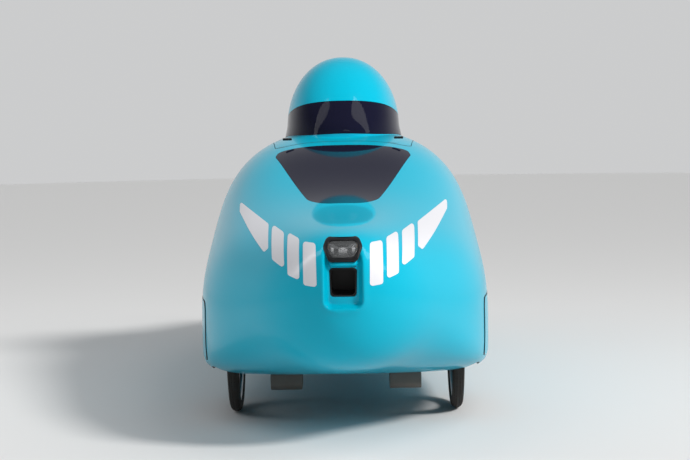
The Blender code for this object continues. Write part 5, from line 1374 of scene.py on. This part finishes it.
def rod(start, end, radius, sides=10, end_radius=None):
    """A round bar between two points, which may taper."""
    start, end = Vector(start), Vector(end)
    bm = bmesh.new()
    bmesh.ops.create_cone(
        bm, cap_ends=True, segments=sides, radius1=radius,
        radius2=radius if end_radius is None else end_radius, depth=(end - start).length,
    )
    turn = (end - start).to_track_quat("Z", "Y").to_matrix()
    bmesh.ops.rotate(bm, verts=bm.verts, cent=(0, 0, 0), matrix=turn)
    bmesh.ops.translate(bm, verts=bm.verts, vec=(start + end) / 2)
    return mesh_of(bm, "rod")


def pipe(points, radius, resolution=2):
    """A round tube along points."""
    curve = bpy.data.curves.new("pipe", "CURVE")
    curve.dimensions = "3D"
    curve.bevel_depth = radius
    curve.bevel_resolution = resolution
    curve.use_fill_caps = True
    line = curve.splines.new("POLY")
    line.points.add(len(points) - 1)
    for point, place in zip(line.points, points):
        point.co = (*place, 1)
    made = link("pipe", curve)
    mesh = evaluated(made)
    bpy.data.objects.remove(made)
    return mesh


def repeated(template, places):
    """Copies of a mesh at many places, as one mesh."""
    bm = bmesh.new()
    for place in places:
        before = len(bm.verts)
        bm.from_mesh(template)
        bm.verts.ensure_lookup_table()
        bmesh.ops.transform(bm, matrix=place, verts=bm.verts[before:])
    return mesh_of(bm, "repeated")


def beveled(mesh, offset, angle=40, segments=2):
    """Breaks a mesh's sharp edges."""
    bm = bmesh.new()
    bm.from_mesh(mesh)
    bmesh.ops.remove_doubles(bm, verts=bm.verts, dist=1e-5)
    bmesh.ops.dissolve_limit(bm, angle_limit=math.radians(1), verts=bm.verts, edges=bm.edges)
    sharp = [e for e in bm.edges if e.is_manifold and e.calc_face_angle(0) > math.radians(angle)]
    bmesh.ops.bevel(
        bm, geom=sharp, offset=offset, segments=segments, affect="EDGES", profile=0.5, material=-1,
        clamp_overlap=True,
    )
    return mesh_of(bm, "beveled")


def make_tyre(name, axle, rim_radius, width):
    """A slim tyre with a cut tread, whose beads sit in the rim."""
    radius = axle.z - 1e-6
    half = width / 2
    profile = []
    for k in range(TYRE_COLUMNS + 1):
        angle = math.radians(-BEAD_ANGLE + 2 * BEAD_ANGLE * k / TYRE_COLUMNS)
        profile.append(polar(radius - half, 0, half, angle))
    bead = rim_radius - BEAD_DEPTH
    profile += [(bead, half * 0.5), (bead, -half * 0.5)]
    bm = bmesh.new()
    bm.from_mesh(turned(profile, (0, 0, 0), steps=TYRE_STEPS))
    tread = []
    for face in bm.faces:
        x, y, z = face.calc_center_median()
        away = math.hypot(y, z) - (radius - half)
        angle = abs(math.degrees(math.atan2(x, away)))
        if away > 0 and any(low < angle < high for low, high in TREAD_BANDS):
            tread.append(face)
    bmesh.ops.inset_individual(bm, faces=tread, thickness=TREAD_EDGE, depth=-TREAD_DEPTH)
    bmesh.ops.translate(bm, verts=bm.verts, vec=axle)
    piece(name + "_tread", mesh_of(bm, name), body_of(name), "rubber", name, 40)


def rim_profile(radius):
    half = RIM_WIDTH / 2
    bed, floor = radius - 0.0062, radius - RIM_DEPTH
    return (
        (radius, -half), (radius, -half + 0.0014), (radius - 0.0014, -half + 0.0016),
        (bed, -half * 0.55), (bed - 0.0012, 0), (bed, half * 0.55),
        (radius - 0.0014, half - 0.0016), (radius, half - 0.0014), (radius, half),
        (radius - 0.0060, half), (radius - 0.0085, half * 0.94), (floor + 0.0016, half * 0.46),
        (floor, half * 0.28), (floor, -half * 0.28), (floor + 0.0016, -half * 0.46),
        (radius - 0.0085, -half * 0.94), (radius - 0.0060, -half),
    )


def toothed(centre, tip, root, count, x, thickness, bore):
    """A chain wheel with a bore: its teeth run round the X axis."""
    outline = []
    for k in range(count):
        for share, radius in ((0.00, root), (0.22, root), (0.40, tip), (0.60, tip), (0.78, root)):
            outline.append(polar(centre.y, centre.z, radius, math.tau * (k + share) / count))
    circle = [polar(centre.y, centre.z, bore, math.tau * k / 48) for k in range(48)]
    wheel = prism(outline, "X", x - thickness / 2, x + thickness / 2)
    return cut(wheel, prism(circle, "X", x - thickness, x + thickness))


def make_wheel(name, axle, sign, rim_radius, hub, flange, flange_x, spokes, extras=()):
    """Rim, hub, laced spokes with nipples, and the valve, as one piece."""
    parts = [
        turned(rim_profile(rim_radius), axle, steps=96),
        turned([(r, sign * x) for r, x in hub], axle, steps=40),
        *extras,
    ]
    floor = rim_radius - RIM_DEPTH
    reach = floor + SPOKE_SEAT
    for k in range(spokes):
        side = 1 if k % 2 else -1
        at_rim = math.tau * (k + 0.5) / spokes
        lean = SPOKE_LEAN * (1 if (k // 2) % 2 else -1)
        start = axle + Vector((side * flange_x, *polar(0, 0, flange, at_rim + lean)))
        out = Vector((side * 0.0015, math.cos(at_rim), math.sin(at_rim)))
        end = axle + Vector((out.x, reach * out.y, reach * out.z))
        parts.append(rod(start, end, SPOKE_RADIUS, 6))
        inwards = (start - end).normalized()
        parts.append(rod(end, end + inwards * NIPPLE_LENGTH, NIPPLE_RADIUS, 6, NIPPLE_END))
        head = Vector((side * SPOKE_HEAD[0], 0, 0))
        parts.append(rod(start - head, start + head, SPOKE_HEAD[1], 8))
    out = Vector((0, 1, 0))
    parts.append(rod(axle + out * (floor - 0.034), axle + out * reach, 0.0028, 10))
    parts.append(rod(axle + out * (floor - 0.040), axle + out * (floor - 0.034), 0.0018, 8))
    piece(name + "_laced", merged(*parts), body_of(name), "alloy", name)


def make_wheels():
    for name, sign in SIDES:
        axle = Vector((sign * FRONT_AXLE.x, FRONT_AXLE.y, FRONT_AXLE.z))
        make_tyre("front_tyre_" + name, axle, FRONT_RIM_RADIUS, FRONT_TYRE_WIDTH)
        make_wheel("front_rim_" + name, axle, sign, FRONT_RIM_RADIUS, FRONT_HUB, 0.0212, 0.0078, 28)
    make_tyre("rear_tyre", REAR_AXLE, REAR_RIM_RADIUS, REAR_TYRE_WIDTH)
    cogs = [
        toothed(REAR_AXLE, tip, tip - COG_TOOTH, count, x, COG_THICKNESS, COG_BORE)
        for tip, count, x in COGS
    ]
    make_wheel("rear_rim", REAR_AXLE, 1, REAR_RIM_RADIUS, REAR_HUB, 0.0250, 0.0225, 36, cogs)


def inner_point(behind_share, height_share):
    """The (y, z) point at shares of the wheelbase and of the height between floor and deck."""
    return FRONT_AXLE.y + behind_share * WHEELBASE, FLOOR_Z + height_share * BODY_RISE


def touch_angle(centre, radius, point, side):
    """Where a straight run from a point meets a chain wheel, as an angle in the (y, z) plane."""
    away = Vector((point[0] - centre.y, point[1] - centre.z))
    return math.atan2(away.y, away.x) + side * math.acos(radius / away.length)


def wrapped(centre, radius, start, end, steps):
    """Points of an arc in the (y, z) plane, from one angle on to the other."""
    while end < start:
        end += math.tau
    turns = [start + (end - start) * k / steps for k in range(steps + 1)]
    return [polar(centre.y, centre.z, radius, turn) for turn in turns]


def guide_runs():
    """The lower and the upper run of the chain's guides, as (y, z) points."""
    runs = []
    for shares in (CHAIN_LOWER_SHARES, CHAIN_UPPER_SHARES):
        ends = (0, len(shares) - 1)
        points = [inner_point(*share) for share in shares]
        runs.append([(*p, 0 if i in ends else GUIDE_BEND * 2) for i, p in enumerate(points)])
    return [rounded(run, 8) for run in runs]


def chain_line():
    """The chain's middle line as a closed list of (y, z) points."""
    lower, upper = guide_runs()
    ring, sprocket = CHAINRING_RADIUS + CHAIN_MIDDLE, SPROCKET_RADIUS + CHAIN_MIDDLE
    lower = [(y, z - CHAIN_MIDDLE) for y, z in lower]
    upper = [(y, z + CHAIN_MIDDLE) for y, z in upper]
    front = wrapped(
        CRANK_AXIS, ring, touch_angle(CRANK_AXIS, ring, upper[-1], 1),
        touch_angle(CRANK_AXIS, ring, lower[0], -1), 60,
    )
    rear = wrapped(
        REAR_AXLE, sprocket, touch_angle(REAR_AXLE, sprocket, lower[-1], 1) - math.tau,
        touch_angle(REAR_AXLE, sprocket, upper[0], -1), 36,
    )
    return front + lower + rear + upper


def spaced(points, pitch):
    """Points at a nearly even pitch round a closed line."""
    line = [Vector(p) for p in points] + [Vector(points[0])]
    total = sum((b - a).length for a, b in zip(line, line[1:]))
    count = 2 * round(total / pitch / 2)
    step, left, made = total / count, 0.0, []
    for a, b in zip(line, line[1:]):
        length = (b - a).length
        while left < length and len(made) < count:
            made.append(a.lerp(b, left / length))
            left += step
        left -= length
    return made


def chain_plate(length, half_height, waist):
    """The outline of one side plate, narrow at its waist."""
    outline = []
    for sign in (1, -1):
        for k in range(5):
            angle = math.pi * (k / 4 - 0.5) + (0 if sign > 0 else math.pi)
            outline.append(polar(sign * length / 2, 0, half_height, angle))
        outline.append((0, sign * waist))
    return outline


def make_chain():
    """The chain, link by link round both chain wheels, and its guide tubes."""
    points = spaced(chain_line(), CHAIN_PITCH)
    links = ([], [])
    rollers = []
    for i, here in enumerate(points):
        after = points[(i + 1) % len(points)]
        middle, way = (here + after) / 2, after - here
        turn = Matrix.Rotation(math.atan2(way.y, way.x), 4, "X")
        links[i % 2].append(Matrix.Translation((CHAIN_X, middle.x, middle.y)) @ turn)
        rollers.append(Matrix.Translation((CHAIN_X, here.x, here.y)))
    parts = []
    outline = chain_plate(CHAIN_PITCH, LINK_HALF_HEIGHT, LINK_WAIST)
    for places, (inner, outer) in zip(links, LINK_LAYERS):
        plates = merged(prism(outline, "X", inner, outer), prism(outline, "X", -outer, -inner))
        parts.append(repeated(plates, places))
    roller = rod((-ROLLER_HALF, 0, 0), (ROLLER_HALF, 0, 0), ROLLER_RADIUS, 6)
    parts.append(repeated(roller, rollers))
    piece("chain_links", merged(*parts), "chassis", "chain", "chain")
    tubes = []
    mouth = (GUIDE_RADIUS * 1.25, 20, GUIDE_RADIUS * 1.6)
    for run, side in zip(guide_runs(), (-1, 1)):
        path = [Vector((CHAIN_X, y, z + side * CHAIN_MIDDLE)) for y, z in run]
        path[0], path[-1] = path[0].lerp(path[1], 0.06), path[-1].lerp(path[-2], 0.06)
        tubes.append(pipe(path, GUIDE_RADIUS * 0.98, 4))
        for end, inner in ((path[0], path[1]), (path[-1], path[-2])):
            outward = (end - inner).normalized()
            tubes.append(rod(end - outward * 0.010, end + outward * 0.004, *mouth))
    piece("chain_guides", merged(*tubes), "chassis", "black", (), 40)


def capsule(start, end, start_radius, end_radius, steps=14):
    """A tapered arm's outline between two round ends in the (y, z) plane."""
    start, end = Vector(start), Vector(end)
    way = math.atan2(end.y - start.y, end.x - start.x)
    outline = []
    for centre, radius, begin in (
        (end, end_radius, way - math.pi / 2), (start, start_radius, way + math.pi / 2),
    ):
        for k in range(steps + 1):
            outline.append(polar(centre.x, centre.y, radius, begin + math.pi * k / steps))
    return outline


def pin(x_start, x_end, place, radius, sides):
    """A round bar along X through a (y, z) place."""
    return rod((x_start, *place), (x_end, *place), radius, sides)


def make_cranks():
    """Forged arms, a spider with its chainring, the spindle and the pedal pins."""
    axis = y, z = CRANK_AXIS.y, CRANK_AXIS.z
    parts = [pin(-SPINDLE_HALF, SPINDLE_HALF, axis, 0.0088, 24)]
    for sign in (1, -1):
        near, far = sorted((sign * CRANK_ARM[0], sign * CRANK_ARM[1]))
        tip = (y + sign * CRANK_LENGTH, z)
        arm = prism(capsule(axis, tip, 0.0150, 0.0118), "X", near, far)
        parts.append(beveled(arm, 0.0026, 50, 3))
        face = sign * CRANK_ARM[1]
        parts.append(turned(CRANK_CAP, (face - sign * 0.0005, y, z), (sign, 0, 0), 24, False))
        parts.append(pin(face, sign * PEDAL_PIN_END, tip, 0.0045, 16))
        parts.append(pin(face, sign * (CRANK_ARM[1] + 0.004), tip, 0.0080, 6))
    tip, root = CHAINRING_RADIUS - 0.0002, CHAINRING_RADIUS - 0.0052
    parts.append(toothed(CRANK_AXIS, tip, root, 48, CHAIN_X, 0.0034, 0.0740))
    for k in range(SPIDER_ARMS):
        angle = math.tau * k / SPIDER_ARMS + SPIDER_TURN
        tip = Vector(axis) + Vector((math.cos(angle), math.sin(angle))) * SPIDER_REACH
        outline = capsule(axis, tip, 0.0180, 0.0078, 8)
        arm = prism(outline, "X", CHAIN_X - 0.0065, CHAIN_X - 0.0015)
        parts.append(beveled(arm, 0.0008, 50, 2))
        parts.append(pin(CHAIN_X - 0.0080, CHAIN_X + 0.0030, tip, 0.0042, 12))
    parts.append(pin(CHAIN_X - 0.0200, CHAIN_X + 0.0010, axis, 0.0200, 28))
    piece("cranks_and_chainring", merged(*parts), "crankset", "alloy", "crankset")


def make_pedals():
    """Each pedal's cage with its windows, barrel and studs."""
    z = CRANK_AXIS.z
    half_thick = PEDAL_THICKNESS / 2
    low, high = z - half_thick + CAGE_INSET, z + half_thick - CAGE_INSET
    for name, sign in SIDES:
        y = CRANK_AXIS.y + sign * CRANK_LENGTH
        near, far = (sign * v for v in PEDAL_SPAN)
        outline = rectangle(near, far, y - PEDAL_HALF, y + PEDAL_HALF, CAGE_CORNER, 5)
        windows = []
        for end in (-1, 1):
            for low_x, high_x in CAGE_WINDOWS:
                hole = rectangle(
                    sign * low_x, sign * high_x, y + end * CAGE_WINDOW_Y[0],
                    y + end * CAGE_WINDOW_Y[1], CAGE_WINDOW_CORNER, 4,
                )
                windows.append(prism(hole, "Z", z - 0.03, z + 0.03))
        deck = beveled(cut(prism(outline, "Z", low, high), merged(*windows)), 0.0008, 50, 2)
        parts = [deck, pin(sign * 0.0785, sign * 0.1402, (y, z), 0.0068, 20)]
        for x in STUD_PLACES:
            for end in (-1, 1):
                place = Vector((sign * x, y + end * STUD_Y, 0))
                foot = place + Vector((0, 0, z - half_thick))
                parts.append(rod(foot, place + Vector((0, 0, z + half_thick)), STUD_RADIUS, 8))
        pedal = "pedal_" + name
        piece("pedal_cage_" + name, merged(*parts), pedal, "black", pedal)


def helix(base, low, high, radius, turns, wire):
    """A coil spring between two heights over a base, with closed ends."""
    start, end = base + Vector((0, 0, low)), base + Vector((0, 0, high))
    steps = int(turns * 18)
    points = []
    for k in range(steps + 1):
        share = k / steps
        flat = min(1, share * turns, (1 - share) * turns)
        lift = share + (0.5 / turns) * (1 - flat) * (1 if share < 0.5 else -1) * 0.6
        around = Vector((*polar(0, 0, radius, math.tau * turns * share), 0))
        points.append(start.lerp(end, lift) + around)
    return pipe(points, wire, 2)


def unit_place(low, high):
    """The foot of a spring unit's axis and the unit's height, from the corners of its box."""
    base = Vector(((low.x + high.x) / 2, (low.y + high.y) / 2, low.z + UNIT_BASE))
    return base, high.z - low.z - UNIT_TOP


def make_springs():
    """The front struts and the rear shock: damper, rod, collars and coil."""
    up = (0, 0, 1)
    for name, _ in SIDES:
        strut = "strut_" + name
        base, rise = unit_place(*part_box("strut_" + name))
        profile = STRUT_PROFILE + ((STRUT_TOP_RADIUS, rise), (0, rise))
        damper = turned(profile, base, up, 40, False)
        coil = helix(base, 0.0410, 0.1625, 0.0188, 6.5, 0.0027)
        piece("strut_damper_" + name, damper, body_of(strut), "black", strut)
        piece("strut_coil_" + name, coil, body_of(strut), "steel", (), 60)
    base, rise = unit_place(*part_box("rear_shock"))
    profile = SHOCK_LOWER + tuple((radius, rise * share) for radius, share in SHOCK_UPPER)
    coil = helix(base, 0.0270, rise * 0.862, 0.0098, 15, 0.0019)
    damper, body = turned(profile, base, up, 32, False), body_of("rear_shock")
    piece("rear_shock_damper", damper, body, "alloy", "rear_shock")
    piece("rear_shock_coil", coil, body, "black", (), 60)


def make_grips():
    """Ribbed rubber grips over the steering bar's ends."""
    length = (GRIP_TOP - GRIP_TIP).length + GRIP_DROP
    profile = list(GRIP_LOWER)
    for k in range(GRIP_RIBS):
        start = GRIP_FIRST_RIB + (length - GRIP_SMOOTH_ENDS) * k / GRIP_RIBS
        width = (length - GRIP_SMOOTH_ENDS) / GRIP_RIBS
        profile += [
            (GRIP_VALLEY, start), (GRIP_CREST, start + width * 0.25),
            (GRIP_CREST, start + width * 0.65), (GRIP_VALLEY, start + width * 0.9),
        ]
    profile += [(radius, length + place) for radius, place in GRIP_UPPER]
    axis = Vector((0, GRIP_TOP.y - GRIP_TIP.y, GRIP_TOP.z - GRIP_TIP.z)).normalized()
    parts = []
    for _, sign in SIDES:
        start = Vector((sign * GRIP_TIP.x, GRIP_TIP.y, GRIP_TIP.z - GRIP_DROP))
        parts.append(turned(profile, start, axis, 32, False))
    piece("tiller_grips", merged(*parts), "tiller", "rubber")


def refine_frame():
    """Carried-over frame parts as merged copies with broken edges and their own finish."""
    for name in list(frame["nodes"]):
        keys = [k for k in REFINED if name == k or name in (k + "_left", k + "_right")]
        if keys:
            look, offset = REFINED[keys[0]]
            mesh = beveled(frame["nodes"][name].data, offset)
            piece(name + "_finished", mesh, body_of(name), look, name, 40)


def make_tail_lamp():
    """The red lens that ends the tail, with moulded ribs."""
    lens = kept(body_mesh(0, False, 0.9), tail_block(TAIL_Y + SEAM / 2))
    ribs = []
    for k in range(TAIL_RIBS):
        z = TAIL_LOW + (TAIL_HIGH - TAIL_LOW) * (k + 1) / (TAIL_RIBS + 1)
        ribs.append(block((TAIL_RIB_LENGTH, TAIL_RIB, TAIL_RIB), (0, CAD_BOX[1].y, z)))
    lens = beveled(cut(lens, merged(*ribs)), 0.0004, 50)
    piece("tail_lens", lens, "chassis", "red", "tail_lamp")


def along_seat(y, z):
    """Distance along the seat's line at which it is nearest to a point."""
    best, best_gap, run = 0.0, 1e9, 0.0
    line = [Vector(inner_point(*share)) for share in SEAT_LINE_SHARES]
    for a, b in zip(line, line[1:]):
        way = b - a
        share = min(1, max(0, (Vector((y, z)) - a).dot(way) / way.length_squared))
        gap = (a + way * share - Vector((y, z))).length
        if gap < best_gap:
            best, best_gap = run + way.length * share, gap
        run += way.length
    return best


def groove(away, depth, width):
    """How deep a sewn groove is at a distance from its middle."""
    return depth * math.exp(-(away / width) ** 2)


def sewn_depth(place, channel):
    """How far the pad is drawn in at a point, by its cross channels and its side seams."""
    run = along_seat(place.y, place.z)
    off = abs((run / channel + 0.5) % 1 - 0.5) * channel
    crossed = abs(place.x) / PAD_HALF_WIDTH < CHANNEL_SHARE
    side = abs(abs(place.x) - SIDE_SEAM_X)
    return max(groove(off, *CHANNEL_GROOVE) * crossed, groove(side, *SIDE_GROOVE))


def swell(item, rest, cap):
    """Blows a pad up as cloth under pressure, by no more than a cap."""
    cloth = item.modifiers.new("padding", "CLOTH")
    cloth.settings.use_pressure = True
    cloth.settings.uniform_pressure_force = 4.0
    cloth.settings.quality = 4
    cloth.settings.effector_weights.gravity = 0.0
    cloth.settings.tension_stiffness = 20
    cloth.settings.compression_stiffness = 20
    scene = bpy.context.scene
    for step in range(1, 21):
        scene.frame_set(step)
    swollen = item.evaluated_get(bpy.context.evaluated_depsgraph_get()).data
    moved = [v.co.copy() for v in swollen.vertices]
    item.modifiers.clear()
    scene.frame_set(1)
    for vert, start, end in zip(item.data.vertices, rest, moved):
        shift = end - start
        vert.co = start + shift * min(1, cap / max(shift.length, 1e-9))


def make_pad(node_name, name, voxel, shrink, cap, channel):
    """A fabric pad: its solid is blown up as cloth, kept off its seat and sewn across."""
    bm = bmesh.new()
    bm.from_mesh(frame["nodes"][node_name].data)
    bmesh.ops.remove_doubles(bm, verts=bm.verts, dist=1e-5)
    solid = mesh_of(bm, name)
    tree = Surface(solid).tree
    item = link(name, solid)
    remesh = item.modifiers.new("voxels", "REMESH")
    remesh.mode, remesh.voxel_size = "VOXEL", voxel
    smooth = item.modifiers.new("smooth", "SMOOTH")
    smooth.iterations = 4
    mesh = evaluated(item)
    item.modifiers.clear()
    item.data = mesh
    rest = [v.co - v.normal * shrink for v in mesh.vertices]
    for vert, place in zip(mesh.vertices, rest):
        vert.co = place
    swell(item, rest, cap)
    mesh.update()
    for vert in mesh.vertices:
        place = vert.co.copy()
        if channel:
            place -= vert.normal * sewn_depth(place, channel)
        nearest, normal, _, _ = tree.find_nearest(place)
        if (place - nearest).dot(normal) > 0 and normal.z < 0.2:
            place = nearest
        vert.co = place
    mesh.update()
    bpy.data.objects.remove(item)
    made = piece(name, mesh, body_of(node_name), "fabric", node_name, None)
    mesh.shade_smooth()
    fine = made.modifiers.new("fine", "SUBSURF")
    fine.levels = fine.render_levels = 1


# Stage, light and camera

def make_stage():
    bm = bmesh.new()
    bmesh.ops.create_circle(bm, cap_ends=True, segments=128, radius=FLOOR_RADIUS)
    floor = link("studio_floor", mesh_of(bm, "studio_floor"))
    made, _, shader = new_material("pale_floor")
    shader.inputs["Base Color"].default_value = (0.70, 0.70, 0.70, 1)
    shader.inputs["Roughness"].default_value = 0.9
    floor.data.materials.append(made)


def add_lamp(name, kind, place, target, energy, colour, glossy):
    data = bpy.data.lights.new(name, kind)
    data.energy = energy
    data.color = colour
    lamp = link(name, data)
    lamp.location = place
    lamp.rotation_mode = "QUATERNION"
    lamp.rotation_quaternion = (Vector(target) - Vector(place)).to_track_quat("-Z", "Y")
    lamp.visible_glossy = glossy
    return data


def make_light():
    """A pale room, a soft sun from the right and three soft boxes that the paint reflects."""
    world = bpy.data.worlds.new("studio")
    bpy.context.scene.world = world
    world.use_nodes = True
    tree = world.node_tree
    lighting = tree.nodes["Background"]
    lighting.inputs["Color"].default_value = (0.95, 0.975, 1.0, 1)
    lighting.inputs["Strength"].default_value = 0.31
    seen = tree.nodes.new("ShaderNodeBackground")
    split = tree.nodes.new("ShaderNodeSeparateXYZ")
    tree.links.new(tree.nodes.new("ShaderNodeTexCoord").outputs["Generated"], split.inputs[0])
    height = maths(tree, "MULTIPLY", maths(tree, "SUBTRACT", split.outputs["Z"], 0.12), 2.2, True)
    walls, ceiling = (0.60, 0.605, 0.61, 1), (0.18, 0.19, 0.21, 1)
    tree.links.new(blended(tree, height, walls, ceiling), seen.inputs["Color"])
    path = tree.nodes.new("ShaderNodeLightPath")
    rays = maths(tree, "MAXIMUM", path.outputs["Is Camera Ray"], path.outputs["Is Glossy Ray"])
    rays = maths(tree, "MAXIMUM", rays, path.outputs["Is Transmission Ray"])
    mixed = tree.nodes.new("ShaderNodeMixShader")
    tree.links.new(rays, mixed.inputs[0])
    tree.links.new(lighting.outputs[0], mixed.inputs[1])
    tree.links.new(seen.outputs[0], mixed.inputs[2])
    tree.links.new(mixed.outputs[0], tree.nodes["World Output"].inputs["Surface"])
    sun = add_lamp("sun", "SUN", (5.4, -3.0, 5.0), (0, 0, 0), 2.55, (1.0, 0.985, 0.96), False)
    sun.angle = math.radians(12)
    for name, place, size, energy in SOFT_BOXES:
        box = add_lamp(name, "AREA", place, (0, -0.4, 0.5), energy, (1, 1, 1), True)
        box.shape = "RECTANGLE"
        box.size, box.size_y = size


def make_camera():
    data = bpy.data.cameras.new("camera")
    data.sensor_width = SENSOR
    data.lens = FOCAL_PIXELS / PHOTO_WIDTH * SENSOR
    camera = link("camera", data)
    camera.location = CAMERA_PLACE
    tilt = math.atan(HORIZON_ABOVE_CENTRE / FOCAL_PIXELS)
    yaw = math.atan((PHOTO_WIDTH / 2 - PHOTO_CENTRE_X) / FOCAL_PIXELS)
    turn = Matrix.Rotation(-yaw, 4, "Z") @ Matrix.Rotation(math.pi / 2 - tilt, 4, "X")
    turn = turn @ Matrix.Rotation(CAMERA_ROLL, 4, "Z")
    camera.rotation_mode = "QUATERNION"
    camera.rotation_quaternion = turn.to_quaternion()
    bpy.context.scene.camera = camera


bpy.context.scene.view_settings.view_transform = "Standard"
make_camera()
make_stage()
make_light()
skin_surface = Surface(body_mesh())
make_body(skin_surface)
make_hood(skin_surface)
make_hinges()
make_reflectors()
make_nose_fittings()
make_tail_lamp()
make_wheels()
make_chain()
make_cranks()
make_pedals()
make_springs()
make_grips()
refine_frame()
make_pad("seat_pad", "seat_cushion", 0.006, 0.003, 0.006, 0.075)
make_pad("head_rest", "head_cushion", 0.004, 0.003, 0.007, 0)
